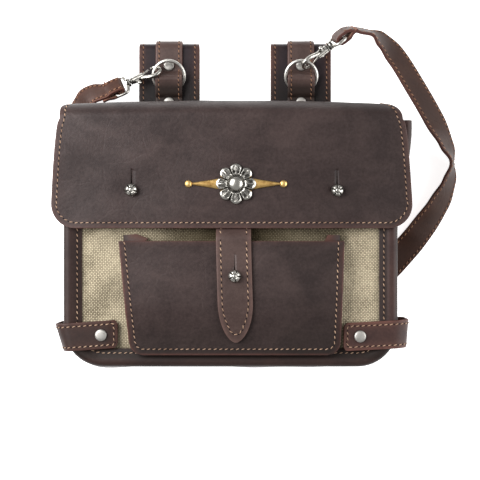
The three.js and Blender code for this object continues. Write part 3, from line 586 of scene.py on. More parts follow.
def turnedPart(profile, steps=40, shape=None):
    # lathe about Z from (radius, height) pairs; shape may move a point and say how recessed it is
    verts, dark, rings = [], [], []
    for radius, high in profile:
        ring = []
        turns = [0] if radius < 1e-6 else [2 * math.pi * i / steps for i in range(steps)]
        for angle in turns:
            r, z, patinaAndShade = shape(radius, high, angle) if shape else (radius, high, 0)
            ring.append(len(verts))
            verts.append(Vector((r * math.cos(angle), r * math.sin(angle), z)))
            dark.append(patinaAndShade)
        rings.append(ring)
    faces = []
    for low, up in zip(rings, rings[1:]):
        for i in range(steps):
            j = (i + 1) % steps
            if len(low) == 1 and len(up) > 1:
                faces.append((low[0], up[j], up[i]))
            elif len(up) == 1 and len(low) > 1:
                faces.append((low[i], low[j], up[0]))
            elif len(low) > 1:
                faces.append((low[i], low[j], up[j], up[i]))
    return verts, faces, dark


def tubePart(points, radii, sides=12, closed=False, flat=1.0):
    # a drawn rod through points; flat squeezes it across the plane's normal
    points = [Vector(p) for p in points]
    count = len(points)
    verts, faces = [], []
    side = None
    for i, point in enumerate(points):
        before = points[(i - 1) % count] if closed else points[max(0, i - 1)]
        after = points[(i + 1) % count] if closed else points[min(count - 1, i + 1)]
        along = (after - before).normalized()
        if side is None:
            side = along.cross(Vector((0, 0, 1)))
            side = side if side.length > 1e-3 else along.cross(Vector((0, 1, 0)))
        side = (side - along * side.dot(along)).normalized()
        up = along.cross(side)
        for k in range(sides):
            angle = 2 * math.pi * k / sides
            over, above = radii[i] * math.cos(angle), radii[i] * flat * math.sin(angle)
            verts.append(point + side * over + up * above)
    for i in range(count if closed else count - 1):
        here, there = i * sides, ((i + 1) % count) * sides
        for k in range(sides):
            j = (k + 1) % sides
            faces.append((here + k, here + j, there + j, there + k))
    if not closed:
        faces.append(tuple(reversed(range(sides))))
        faces.append(tuple(range((count - 1) * sides, count * sides)))
    return verts, faces, [0] * len(verts)


def movedPart(part, matrix):
    return [matrix @ v for v in part[0]], part[1], part[2]


def metalPiece(name, parts, matrix, finishName, sharp=38):
    verts, faces, dark = [], [], []
    for partVerts, partFaces, partDark in parts:
        start = len(verts)
        verts += [place(matrix @ v) for v in partVerts]
        faces += [tuple(start + i for i in face) for face in facedOut(partVerts, partFaces)]
        dark += partDark
    made = newObject(name, verts, faces, [finishes[finishName]])
    markPoints(made, "patinaAndShade", dark)
    made.data.set_sharp_from_angle(angle=math.radians(sharp))
    return made


# stitches, laid along a line by geometry nodes

def stitchTree():
    tree, given, out = newGroup("saddleStitch", "GeometryNodeTree", [
        ("Line", "NodeSocketGeometry"), ("Pitch", "NodeSocketFloat"), ("Length", "NodeSocketFloat"),
        ("Thread", "NodeSocketFloat"), ("Slant", "NodeSocketFloat"), ("Unevenness", "NodeSocketFloat", 0.12),
        ("Seed", "NodeSocketInt"), ("Thread Look", "NodeSocketMaterial"),
        ("Hole Look", "NodeSocketMaterial")], [("Stitches", "NodeSocketGeometry")])
    curve = addNode(tree, "GeometryNodeMeshToCurve", {0: given["Line"]}).outputs[0]
    even = addNode(tree, "GeometryNodeResampleCurve", {"Curve": curve, "Length": given["Pitch"]},
                   mode="LENGTH").outputs[0]
    end = addNode(tree, "GeometryNodeCurveEndpointSelection", {"Start Size": 0, "End Size": 1}).outputs[0]
    marked = addNode(tree, "GeometryNodeStoreNamedAttribute",
                     {"Geometry": even, "Name": "end", "Value": end}, data_type="BOOLEAN").outputs[0]
    spots = addNode(tree, "GeometryNodeCurveToPoints", {"Curve": marked}, mode="EVALUATED").outputs
    atEnd = addNode(tree, "GeometryNodeInputNamedAttribute", {"Name": "end"}, data_type="BOOLEAN").outputs[0]
    inside = addNode(tree, "FunctionNodeBooleanMath", {0: atEnd}, operation="NOT").outputs[0]
    up = addNode(tree, "GeometryNodeInputNamedAttribute", {"Name": "up"}, data_type="FLOAT_VECTOR").outputs[0]
    along = addNode(tree, "FunctionNodeAlignRotationToVector", {"Vector": spots["Tangent"]},
                    axis="X").outputs[0]
    stood = addNode(tree, "FunctionNodeAlignRotationToVector", {"Rotation": along, "Vector": up}, axis="Z",
                    pivot_axis="X").outputs[0]
    least = addMath(tree, "SUBTRACT", given["Slant"], given["Unevenness"])
    most = addMath(tree, "ADD", given["Slant"], given["Unevenness"])
    jitter = addNode(tree, "FunctionNodeRandomValue", {2: least, 3: most, "Seed": given["Seed"]},
                     data_type="FLOAT")
    turn = addNode(tree, "FunctionNodeAxisAngleToRotation", {
        "Axis": (0, 0, 1), "Angle": next(s for s in jitter.outputs if s.enabled)}).outputs[0]
    slanted = addNode(tree, "FunctionNodeRotateRotation", {"Rotation": stood, "Rotate By": turn},
                      rotation_space="LOCAL").outputs[0]

    def bead(segments, rings, size, look, points, rotation, chosen=True):
        ball = addNode(tree, "GeometryNodeMeshUVSphere",
                       {"Segments": segments, "Rings": rings, "Radius": 0.5})
        scale = addNode(tree, "ShaderNodeCombineXYZ", dict(enumerate(size))).outputs[0]
        laid = addNode(tree, "GeometryNodeInstanceOnPoints", {
            "Points": points, "Selection": chosen, "Instance": ball.outputs[0], "Rotation": rotation,
            "Scale": scale}).outputs[0]
        real = addNode(tree, "GeometryNodeRealizeInstances", {0: laid}).outputs[0]
        soft = addNode(tree, "GeometryNodeSetShadeSmooth", {0: real}).outputs[0]
        return addNode(tree, "GeometryNodeSetMaterial", {"Geometry": soft, "Material": look}).outputs[0]
    threadSize = (given["Length"], given["Thread"], given["Thread"])
    threads = bead(8, 5, threadSize, given["Thread Look"], spots["Points"], slanted)
    halfPitch = addMath(tree, "MULTIPLY", given["Pitch"], 0.5)
    halfWay = addNode(tree, "ShaderNodeVectorMath", {0: spots["Tangent"], "Scale": halfPitch},
                      operation="SCALE").outputs[0]
    between = addNode(tree, "GeometryNodeSetPosition",
                      {"Geometry": spots["Points"], "Offset": halfWay}).outputs[0]
    # painted shade: dark beads between the stitches stand for the shade in the needle holes
    holeSize = [addMath(tree, "MULTIPLY", given["Thread"], share) for share in (2.2, 1.5, 0.5)]
    holes = bead(6, 3, holeSize, given["Hole Look"], between, stood, inside)
    joined = addNode(tree, "GeometryNodeJoinGeometry")
    tree.links.new(threads, joined.inputs[0])
    tree.links.new(holes, joined.inputs[0])
    tree.links.new(joined.outputs[0], out["Stitches"])
    return tree


stitches = stitchTree()
stitchSockets = {s.name: s.identifier for s in stitches.interface.items_tree if s.in_out == "INPUT"}
stitchCut = {"pitch": 3.8, "length": 2.5, "thread": 0.64, "slant": 0.3, "proud": 0.1, "seed": 3}


def sewPiece(name, runs, finishName, slotName, **changes):
    # runs: lists of (point, outward) along the seams
    cut = {**stitchCut, **changes}
    verts, lines, ups = [], [], []
    for run in runs:
        start = len(verts)
        for point, outward in run:
            outward = Vector(outward).normalized()
            verts.append(place(Vector(point) + outward * cut["proud"]))
            ups += list(outward)
        lines += [(i, i + 1) for i in range(start, len(verts) - 1)]
    mesh = bpy.data.meshes.new(name)
    mesh.from_pydata(verts, lines, [])
    layer = mesh.attributes.new("up", "FLOAT_VECTOR", "POINT")
    layer.data.foreach_set("vector", ups)
    made = bpy.data.objects.new(name, mesh)
    bpy.context.scene.collection.objects.link(made)
    sew = made.modifiers.new("stitches", "NODES")
    sew.node_group = stitches
    values = {"Pitch": cut["pitch"] * mm, "Length": cut["length"] * mm, "Thread": cut["thread"] * mm,
              "Slant": cut["slant"], "Seed": cut["seed"], "Thread Look": finishes[finishName],
              "Hole Look": finishes["needleHoleShade"]}
    for label, value in values.items():
        sew[stitchSockets[label]] = value
    bakePlain(made)
    return settle(made)


print("tools ready")


# the surfaces that pieces lie on

seat = 0.3  # room left between pieces
hideThick = 2.0
upward = (0, 0, 1)
body = {"half": 116, "height": 166, "corner": 28, "front": 58, "band": 13, "roll": 4, "footBand": 12,
        "flare": 10, "flareFrom": 92, "flareFull": 12, "mouth": 5, "slack": 1.5, "slackFrom": 3,
        "wallFrom": 2.4, "wallShift": 0.4, "seam": 3.2, "seamTop": 2, "seamDrop": 1.2,
        "waves": [{"high": 0.9, "x": 0.052, "y": 0.061}, {"high": 0.5, "x": 0.13, "y": -0.11}],
        "paintedShade": {"flange": 0.75, "flangeTop": (0.5, 1.3), "flangeFoot": (3, 2), "foot": 0.55,
                 "footRun": (12, 4), "left": 0.5, "leftRun": (-60, -100), "grooveLow": (3, 7),
                 "grooveHigh": (15, 12)}}
canvasCut = {"thick": 1.2, "swell": 2.2, "swellX": 103, "swellY": 78, "middleY": 90, "topInset": 4,
             "rimRound": 0.3,
             "pucker": {"high": 0.3, "x": 0.35, "y": 0.2, "bend": 2, "alongY": 0.31, "alongX": 0.12,
                        "side": (103, 92), "foot": (13, 22)},
             "folds": {"high": 1.1, "turn": 0.171, "start": 1.1, "inner": (78.5, 85), "outer": (103, 97),
                       "foot": (30, 44), "right": 0.5},
             "paintedShade": {"mouth": (80, 88), "left": (-66, -34), "right": (86, 76), "middle": (2, 36),
                      "least": 0.72, "border": 0.5, "borderSide": (99, 103.5), "borderFoot": (17, 12),
                      "shade": 0.2, "shadeRun": (78, 95)}}
backCut = {"strapRoom": 2.7, "loopRoom": 5, "rampFrom": 112, "rampTo": 138, "bend": 18, "bendFrom": 6}
flapCut = {"top": 185.5, "bottom": 96, "bend": 12, "corner": 18, "rim": 58.9, "crown": 4.2, "shift": 0.9,
           "halfTop": 118, "halfBottom": 125.6, "backShare": 0.3, "sag": 2.8, "sagHeld": 0.6, "seam": 3.9,
           "seamFrom": 10, "foldRound": {"left": 5, "right": 11}, "slitFrom": 2, "fade": 1.8,
           "waves": {"slow": 0.32, "slowX": 0.041, "startX": 0.8, "slowY": 0.05, "startY": 0.4,
                     "cross": 0.16, "crossX": 0.11, "crossY": 0.07, "drawn": 0.7, "drawnReach": 11,
                     "below": (12, 40)},  # they grow between these distances from the fold
           "paintedShade": {"right": 0.15, "rightRun": (0, 110), "fold": 0.3, "foldRun": (10, 3)}}
pocketCut = {"top": 87.3, "bottom": 11.3, "leftTop": -76.8, "leftBottom": -69.3, "rightTop": 78.3,
             "rightBottom": 75.6, "corner": 9, "deepFoot": 5, "deepMiddle": 9, "deepTop": 7.5, "footRun": 34,
             "mouthRun": 40, "press": 2, "pressRun": 26, "inset": 3, "wall": 1.2, "flange": 8, "ears": 4,
             "earSpare": 1, "mouthRow": 1, "seam": 4.2, "seamTop": 1.6, "seamRound": 5, "fan": (9, 2),
             "fanRun": 6, "lip": 2.6, "ease": 0.6, "sink": 0.8, "dent": 0.35, "dentX": 0.06, "dentStart": 1.1,
             "dentY": 0.09, "footClear": 0.35, "topClear": 0.2, "fade": 0.9,
             "mouthWear": 0.35, "wearRun": (4, 1),
             "paintedShade": {"foot": 0.35, "footRun": (40, 15), "right": 0.25, "rightRun": (12, 50),
                      "groove": 0.45, "grooveAt": (2.4, 1.4), "fold": 0.45, "foldRun": (78, 86)}}
tongueCut = {"x": 2.1, "half": 12, "top": 110, "tip": 18, "point": 27, "climbFrom": 1, "climbTo": 11.5,
             "studX": 2.8, "studY": 63.4, "lean": 1.6, "leanRun": (95, 20), "blunt": 0.8, "tipHalf": 1.3,
             "crown": 0.25, "seam": 3.1, "seamTop": 2, "seamTip": 5.4, "seamSpare": 1.5, "seamLeast": 0.3,
             "slitFrom": 3, "slitWidth": 0.4, "rimRound": 0.1, "fade": 1.6, "pitch": 4.1, "stitch": 2.7}
studSpots = {"left": (-68.1, 122.4), "right": (73.3, 122)}
slitCut = {"length": 13.5, "width": 0.7, "hole": 2.6, "tip": 1.2, "tall": 30,
           "wideAt": 0.5, "narrowAt": 0.85, "narrow": 0.3, "turn": (76, -256)}
canvasRim = body["front"] - hideThick - seat
flapFrontTop = flapCut["top"] - flapCut["bend"]
flapFrontZ = flapCut["rim"] + hideThick


def canvasTop(x, y):
    c = canvasCut
    across = max(0, 1 - (x / c["swellX"]) ** 2)
    along = max(0, 1 - ((y - c["middleY"]) / c["swellY"]) ** 2)
    return canvasRim + c["swell"] * across * along


def backUnder(y):
    b = backCut
    return lerp(b["strapRoom"], b["loopRoom"], clamp01((y - b["rampFrom"]) / (b["rampTo"] - b["rampFrom"])))


def flapCrown(x):
    return flapCut["crown"] * max(0, 1 - (x / flapCut["halfBottom"]) ** 2)


def flapWave(x, y):
    # the hide lies in slow waves, and is drawn down at the two studs
    w = flapCut["waves"]
    wave = w["slow"] * math.sin(x * w["slowX"] + w["startX"]) * math.sin(y * w["slowY"] + w["startY"])
    wave += w["cross"] * math.sin(x * w["crossX"] - y * w["crossY"])
    for studX, studY in studSpots.values():
        wave -= w["drawn"] * hump(math.hypot(x - studX, y - studY), 0, w["drawnReach"])
    still, free = w["below"]
    return wave * smooth(y, flapCut["top"] - still, flapCut["top"] - free)


def flapTop(x, y):
    return flapFrontZ + flapCrown(x) + flapWave(x, y)


def pocketTop(x, y):
    p = pocketCut
    foot = smooth(y, p["bottom"], p["bottom"] + p["footRun"])
    mouth = smooth(y, p["top"] - p["mouthRun"], p["top"])
    pressed = p["press"] * mouth * hump(x, tongueCut["x"], p["pressRun"])
    deep = lerp(p["deepFoot"], lerp(p["deepMiddle"], p["deepTop"], mouth), foot)
    dent = p["dent"] * math.sin(x * p["dentX"] + p["dentStart"]) * math.sin(y * p["dentY"]) * foot
    return canvasTop(x, y) + deep - pressed + hideThick + dent


def tongueUnder(y):
    t, mouth = tongueCut, pocketCut["top"]
    low = canvasTop(t["x"], y) + seat
    high = pocketTop(t["x"] + t["half"], min(y, mouth)) + seat
    return lerp(high, low, smooth(y, mouth + t["climbFrom"], mouth + t["climbTo"]))


def slitCutter(name, x, y, low, looks, width=slitCut["width"]):
    # button hole with a slit above it, slightly parted
    s = slitCut
    halfSlit = [(width / 2, s["length"] * s["wideAt"]), (width * s["narrow"], s["length"] * s["narrowAt"])]
    outline = [(s["hole"] * math.cos(a), s["hole"] * math.sin(a)) for a in angles(14, *s["turn"])]
    outline += [(-dx, dy) for dx, dy in halfSlit] + [(0, s["length"] + s["tip"])] + halfSlit[::-1]
    verts = [place((x + dx, y + dy, z)) for z in (low, low + s["tall"]) for dx, dy in outline]
    made = newObject(name, verts, facedOut(verts, prismFaces(len(outline))), looks)
    for polygon in made.data.polygons:
        polygon.material_index = 1
    return made


# back and flap, one hide folded over the top

def flapShare(y):
    # 0 at the fold, 1 at the foot of the flap
    return math.sqrt((flapFrontTop - y) / (flapFrontTop - flapCut["bottom"]))


def flapEdges(share):
    f = flapCut
    half = lerp(f["halfTop"], f["halfBottom"], share)
    return -half + f["shift"] * share, half + f["shift"]


def foldInset(y, side):
    # the hide is cut narrower where it turns over the top
    return roundInset(flapCut["top"] - y, flapCut["foldRound"][side])


def flapDrop(x, sag):
    return sag * flapCut["sag"] * (x / flapCut["halfTop"]) ** 2


def flapRows():
    f, b = flapCut, backCut
    shares = seamColumns(56, 2 * body["half"])
    rows = []

    def addRow(y, z, left, right, crown=0, sag=0):
        row = []
        left, right = left + foldInset(y, "left"), right - foldInset(y, "right")
        for share in shares:
            x = lerp(left, right, share)
            row.append(Vector((x, y - flapDrop(x, sag), z + crown * (flapCrown(x) + flapWave(x, y)))))
        rows.append(row)
    backTop = f["top"] - b["bend"]
    backYs = cornerRows(body["corner"]) + spread(10, body["corner"], b["rampFrom"])[1:]
    backYs += spread(6, b["rampFrom"], b["rampTo"])[1:] + spread(4, b["rampTo"], backTop)[1:]
    for y in backYs:
        edge = body["half"] - roundInset(y, body["corner"])
        addRow(y, backUnder(y), -edge, edge)
    edge = lerp(body["half"], f["halfTop"], f["backShare"])
    for angle in angles(14, b["bendFrom"], 90):
        addRow(backTop + b["bend"] * math.sin(angle), b["loopRoom"] + b["bend"] * (1 - math.cos(angle)),
               -edge, edge, sag=math.sin(angle))
    low, high = b["loopRoom"] + b["bend"], flapFrontZ - f["bend"]
    for share in spread(5, 0, 1)[1:-1]:
        reach = lerp(edge, f["halfTop"], share)
        addRow(f["top"], lerp(low, high, share), -reach, reach, sag=1)
    for degrees in spread(16, 0, 90):
        angle, share = math.radians(degrees), degrees / 90
        addRow(f["top"] - f["bend"] * (1 - math.cos(angle)), flapFrontZ - f["bend"] * (1 - math.sin(angle)),
               -f["halfTop"], f["halfTop"] + f["shift"] * share,
               math.sin(angle) ** 2, lerp(1, f["sagHeld"], share))
    frontYs = spread(22, flapFrontTop, f["bottom"] + f["corner"])[1:]
    frontYs += [f["bottom"] + d for d in reversed(cornerRows(f["corner"], 12))][1:]
    for y in frontYs:
        share = flapShare(y)
        left, right = flapEdges(share)
        inset = roundInset(y - f["bottom"], f["corner"])
        addRow(y, flapFrontZ, left + inset, right - inset, 1, f["sagHeld"] * (1 - share))
    return rows


def flapShadeAt(x, y, z):
    # painted shade: the right half of the front is darker, and the fold is darkened to tone down its lit top
    f, s = flapCut, flapCut["paintedShade"]
    front = smooth(z, f["rim"] - f["bend"], f["rim"])
    fold = smooth(y, f["top"] - s["foldRun"][0], f["top"] - s["foldRun"][1])
    return front * (s["right"] * smooth(x, *s["rightRun"]) + s["fold"] * fold)


flapLooks = hideLooks("darkHide")
flapSlits = [slitCutter(f"flapSlit.{side}", x, y, canvasRim + flapCut["slitFrom"], flapLooks)
             for side, (x, y) in studSpots.items()]
flapHide = sheetPiece("flapHide", flapRows(), hideThick, flapLooks, (2, (0, 0, -1)), flapSlits,
                      fade=flapCut["fade"])
markPaintedShade(flapHide, flapShadeAt)
settle(flapHide, ["back_flap"])


def flapSeam():
    # one run down the left side, round both lower corners and up the right side
    f = flapCut

    def sideRun(side):
        points = []
        for degrees in spread(8, f["seamFrom"], 90)[:-1]:
            angle, share = math.radians(degrees), degrees / 90
            y = flapFrontTop + f["bend"] * math.cos(angle)
            x = signs[side] * (f["halfTop"] - f["seam"] - foldInset(y, side))
            x += f["shift"] * share if side == "right" else 0
            z = flapFrontZ - f["bend"] * (1 - math.sin(angle)) + math.sin(angle) ** 2 * flapCrown(x)
            points.append(((x, y - flapDrop(x, lerp(1, f["sagHeld"], share)), z),
                           (0, math.cos(angle), math.sin(angle))))
        for y in spread(20, flapFrontTop, f["bottom"] + f["corner"]):
            share = flapShare(y)
            left, right = flapEdges(share)
            x = right - f["seam"] if side == "right" else left + f["seam"]
            points.append(((x, y - flapDrop(x, f["sagHeld"] * (1 - share)), flapTop(x, y)), upward))
        return points

    def cornerRun(middle, low, high):
        inner, middleY = f["corner"] - f["seam"], f["bottom"] + f["corner"]
        return [(middle + inner * math.cos(a), middleY + inner * math.sin(a)) for a in angles(10, low, high)]
    left, right = flapEdges((flapShare(f["bottom"] + f["corner"]) + 1) / 2)
    leftMiddle, rightMiddle = left + f["corner"], right - f["corner"]
    foot = cornerRun(leftMiddle, 180, 270)
    foot += [(x, f["bottom"] + f["seam"]) for x in spread(40, leftMiddle, rightMiddle)[1:-1]]
    foot += cornerRun(rightMiddle, 270, 360)
    footRun = [((x, y, flapTop(x, y)), upward) for x, y in foot]
    return sideRun("left") + footRun + sideRun("right")[::-1]


sewPiece("flapStitches", [flapSeam()], "tanThread", "leather")
print("back and flap ready")


# gusset with its rolled border

gussetBend = [  # from the back seam into the wall: inward and up, on both faces of the hide
    {"outer": (1.4, 0), "inner": (3, hideThick)}, {"outer": (0.4, 0.5), "inner": (2.2, 2.3)},
    {"outer": (0, 1.4), "inner": (hideThick, 3)},
]
borderSteps = [{"past": 1.6, "drop": 0.12}, {"past": 3, "drop": 0.6}, {"past": 4.2, "drop": 1.15}]
borderEnd = {"lip": 0.4, "lipDrop": 1.25, "outerDrop": 1.5, "innerDrop": 1.9}


def gussetSection(point):
    x, y = point
    foot = backUnder(y) + hideThick + seat
    top, roll, band, end = body["front"], body["roll"], body["band"], borderEnd
    # the right side leans out toward the mouth
    flare = body["flare"] * smooth(y, body["flareFrom"], body["height"]) if x > 0 else 0
    slack = body["slack"] + sum(w["high"] * math.sin(x * w["x"] + y * w["y"]) for w in body["waves"])

    def lean(rows):
        # the flare fades along the turned-over border, and the wall bellies between its seams
        made = []
        low = foot + body["slackFrom"]
        for n, z in rows:
            out = flare * smooth(z, foot, top - body["flareFull"]) * (1 - smooth(n, roll, band))
            belly = slack * math.sin(math.pi * clamp01((z - low) / (top - roll - low)))
            made.append((n - out - belly, z))
        return made

    def arc(radius):
        return [(roll - radius * math.cos(a), top - roll + radius * math.sin(a)) for a in angles(8, 0, 90)]
    side = spread(14, foot + body["wallFrom"], top - roll)[:-1]
    outer = [(body["footBand"], foot)] + [(n, foot + up) for n, up in [row["outer"] for row in gussetBend]]
    outer += [(0, z) for z in side] + arc(roll)
    outer += [(roll + row["past"], top - row["drop"]) for row in borderSteps]
    outer += [(band - end["lip"], top - end["lipDrop"]), (band, top - end["outerDrop"])]
    inner = [(body["footBand"], foot + hideThick)]
    inner += [(n, foot + up) for n, up in [row["inner"] for row in gussetBend]]
    inner += [(hideThick, z + body["wallShift"]) for z in side] + arc(roll - hideThick)
    inner += [(roll + row["past"], top - hideThick) for row in borderSteps]
    inner += [(band - end["lip"], top - hideThick), (band, top - end["innerDrop"])]
    return lean(outer), lean(inner)


def gussetShadeAt(x, y, z):
    # painted shade: the sewn flange, the foot, the left side and a band near the foot are darker
    s, down = body["paintedShade"], body["front"] - z
    flange = s["flange"] * smooth(down, *s["flangeTop"]) * smooth(down, *s["flangeFoot"])
    groove = smooth(y, *s["grooveLow"]) * smooth(y, *s["grooveHigh"])
    return max(flange, s["foot"] * smooth(y, *s["footRun"]), s["left"] * smooth(x, *s["leftRun"]), groove)


def uCorners(half, top, foot):
    return [(-half, top), (-half, foot), (half, foot), (half, top)]


gussetStations = uStations(uCorners(body["half"], body["height"] + body["mouth"], 0), body["corner"], step=5)
gussetHide = channelPiece("gussetHide", gussetStations, gussetSection, hideLooks("borderHide"))
markPaintedShade(gussetHide, gussetShadeAt)
settle(gussetHide, ["gusset"])
borderInset = body["band"] - body["seam"]
borderLine = uStations(uCorners(body["half"] - borderInset, body["height"] - body["seamTop"], borderInset),
                       body["corner"] - borderInset, step=4)
borderSeam = [((p[0], p[1], body["front"] - body["seamDrop"]), upward) for p, inward in borderLine]
sewPiece("borderStitches", [borderSeam], "tanThread", "leather")
print("gusset ready")


# canvas front

def canvasWave(x, y):
    # puckers all over, and slack folds beside the pocket
    p, f = canvasCut["pucker"], canvasCut["folds"]
    free = smooth(abs(x), *p["side"]) * smooth(y, *p["foot"])
    ripple = math.sin(x * p["x"] + math.sin(y * p["y"]) * p["bend"])
    ripple += math.sin(y * p["alongY"] + x * p["alongX"])
    slack = smooth(abs(x), *f["inner"]) * smooth(abs(x), *f["outer"]) * smooth(y, *f["foot"])
    slack *= 1 if x < 0 else f["right"]
    return p["high"] * free * ripple + f["high"] * slack * math.sin((x - y) * f["turn"] + f["start"])


def canvasRows():
    low = body["roll"] + seat
    corner = body["corner"] - body["roll"]
    ys = [low + d for d in cornerRows(corner, 10)]
    ys += spread(44, low + corner, body["height"] - canvasCut["topInset"])[1:]
    rows = []
    for y in ys:
        reach = body["half"] - low - roundInset(y - low, corner)
        rows.append([Vector((x, y, canvasTop(x, y) + canvasWave(x, y))) for x in spread(64, -reach, reach)])
    return rows


def canvasShadeAt(x, y, z):
    # painted shade above the pocket's mouth, along the border and below the flap
    s = canvasCut["paintedShade"]
    mouth = smooth(y, *s["mouth"]) * smooth(x, *s["left"]) * smooth(x, *s["right"])
    mouth *= lerp(s["least"], 1, hump(x, *s["middle"]))
    border = max(smooth(abs(x), *s["borderSide"]), smooth(y, *s["borderFoot"]))
    return max(mouth, s["border"] * border, s["shade"] * smooth(y, *s["shadeRun"]))


canvasFront = sheetPiece("canvasFront", canvasRows(), canvasCut["thick"], [finishes["canvas"]], (20, upward),
                         rimRound=canvasCut["rimRound"])
markPaintedShade(canvasFront, canvasShadeAt)
settle(canvasFront, ["front_panel"])
print("canvas ready")


# pocket: leather front on a folded strip

def pocketEdges(y):
    p = pocketCut
    share = (y - p["bottom"]) / (p["top"] - p["bottom"])
    inset = roundInset(y - p["bottom"] + p["lip"], p["corner"])
    left, right = lerp(p["leftBottom"], p["leftTop"], share), lerp(p["rightBottom"], p["rightTop"], share)
    return left + inset, right - inset


def pocketCorners(inset, top, foot):
    p = pocketCut
    return [(p["leftTop"] + inset, top), (p["leftBottom"] + inset, foot), (p["rightBottom"] - inset, foot),
            (p["rightTop"] - inset, top)]


def pocketRows():
    # the front hangs over the strip's foot by a lip
    p = pocketCut
    foot = p["bottom"] - p["lip"]
    ys = [foot + d for d in cornerRows(p["corner"], 9)]
    ys += spread(24, foot + p["corner"], p["top"] - p["mouthRow"])[1:] + [p["top"]]
    rows = []
    for y in ys:
        left, right = pocketEdges(y)
        xs = [lerp(left, right, share) for share in seamColumns(40, right - left)]
        rows.append([Vector((x, y, pocketTop(x, y))) for x in xs])
    return rows


def pocketShadeAt(x, y, z):
    # painted shade: darker towards the foot and the right, and in the groove outside the seam
    s = pocketCut["paintedShade"]
    left, right = pocketEdges(y)
    groove = hump(min(x - left, right - x, y - pocketCut["bottom"] + pocketCut["lip"]), *s["grooveAt"])
    worn = s["foot"] * smooth(y, *s["footRun"]) + s["right"] * smooth(x, *s["rightRun"])
    return worn + s["groove"] * groove


def pocketSection(point):
    x, y = point
    p = pocketCut
    fan = smooth(y, p["top"] - p["fanRun"], p["top"])
    fan *= smooth(y, p["top"] + p["ears"] + p["earSpare"], p["top"])
    end, thick, ease = p["flange"] + p["fan"][x > 0] * fan, p["wall"], p["ease"]
    foot = canvasTop(x - math.copysign(end / 2, x), y) + seat + p["footClear"]
    top = pocketTop(x, y) - hideThick - seat - p["topClear"]
    waist = (foot + top) / 2
    sink = p["sink"] * smooth(y, p["bottom"], p["top"])  # the strip folds inward between its flanges
    outer = [(end, foot), (ease, foot), (0, foot + ease), (sink, waist), (0, top - ease), (ease, top),
             (end, top)]
    inner = [(end, foot + thick), (thick + ease, foot + thick), (thick, foot + thick + ease),
             (sink + thick, waist), (thick, top - thick - ease), (thick + ease, top - thick),
             (end, top - thick)]
    return outer, inner


pocketFront = sheetPiece("pocketFront", pocketRows(), hideThick, hideLooks("pocketHide"), (14, upward),
                         fade=pocketCut["fade"])
markPaintedShade(pocketFront, pocketShadeAt)
wear = pocketFront.data.attributes["rim"].data
for vertex in pocketFront.data.vertices:  # the worn-rim colour fades out along the mouth's edge
    fromMouth = pocketCut["top"] - toPouch(vertex.co).y
    wear[vertex.index].value *= lerp(1, pocketCut["mouthWear"], smooth(fromMouth, *pocketCut["wearRun"]))
settle(pocketFront, ["pocket_panel"])

pocketStations = uStations(pocketCorners(pocketCut["inset"], pocketCut["top"] + pocketCut["ears"],
                                         pocketCut["bottom"] + pocketCut["inset"]),
                           pocketCut["corner"], step=4)
pocketFold = channelPiece("pocketFold", pocketStations, pocketSection, hideLooks("borderHide"))
# painted shade inside the fold near the mouth
foldShade = pocketCut["paintedShade"]["fold"]
markPaintedShade(pocketFold, lambda x, y, z: foldShade * smooth(y, *pocketCut["paintedShade"]["foldRun"]))
settle(pocketFold, ["pocket_gusset"])

pocketLine = uStations(pocketCorners(pocketCut["seam"], pocketCut["top"] - pocketCut["seamTop"],
                                     pocketCut["bottom"] - pocketCut["lip"] + pocketCut["seam"]),
                       pocketCut["seamRound"], step=4)
pocketSeam = [((p[0], p[1], pocketTop(p[0], p[1])), upward) for p, inward in pocketLine]
sewPiece("pocketStitches", [pocketSeam], "tanThread", "leather")
print("pocket ready")


# tongue

def tongueHalf(y):
    t = tongueCut
    left = clamp01(1 - (y - t["tip"]) / t["point"])
    return max(t["tipHalf"], t["half"] * lerp(1 - left * left, math.sqrt(1 - left * left), t["blunt"]))


def tongueX(y):
    # it was cut and sewn a little askew
    return tongueCut["x"] + tongueCut["lean"] * smooth(y, *tongueCut["leanRun"])


def tongueLine():
    t, mouth = tongueCut, pocketCut["top"]
    ys = spread(6, t["top"], mouth + t["climbTo"]) + spread(12, mouth + t["climbTo"], mouth)[1:]
    ys += spread(18, mouth, t["tip"] + t["point"])[1:]
    ys += [t["tip"] + d for d in reversed(cornerRows(t["point"], 24, 0.2))][1:]
    under = [Vector((y, tongueUnder(y))) for y in ys]
    return under, offsetLine(under, -hideThick)


def tongueRows():
    rows = []
    for low, high in zip(tongueUnderLine, tongueTopLine):
        reach, row = tongueHalf(low.x), []
        for share in seamColumns(10, 2 * tongueCut["half"]):
            crown = tongueCut["crown"] * (1 - (2 * share - 1) ** 2)
            row.append(Vector((tongueX(low.x) + lerp(-reach, reach, share), high.x, high.y + crown)))
        rows.append(row)
    return rows


def onTongue(x, y):
    # a point on the tongue's upper face, with its outward direction
    line = tongueTopLine
    near = min(range(len(line)), key=lambda i: abs(line[i].x - y))
    before, after = line[max(0, near - 1)], line[min(near + 1, len(line) - 1)]
    high = lerp(before.y, after.y, clamp01((y - before.x) / (after.x - before.x)))
    high += tongueCut["crown"] * (1 - (x / tongueCut["half"]) ** 2)
    along = (after - before).normalized()
    return (tongueX(y) + x, y, high), (0, along.y, -along.x)


def tongueSeam():
    t = tongueCut
    shoulder = t["tip"] + t["point"]
    left = [(t["seam"] - t["half"], y) for y in spread(16, t["top"] - t["seamTop"], shoulder)]
    for y in spread(14, shoulder, t["tip"] + t["seamTip"])[1:]:
        inset = t["seam"] * lerp(t["seamSpare"], 1, smooth(y, t["tip"], shoulder))
        left.append((-max(t["seamLeast"], tongueHalf(y) - inset), y))
    return [onTongue(x, y) for x, y in left + [(-x, y) for x, y in reversed(left)]]


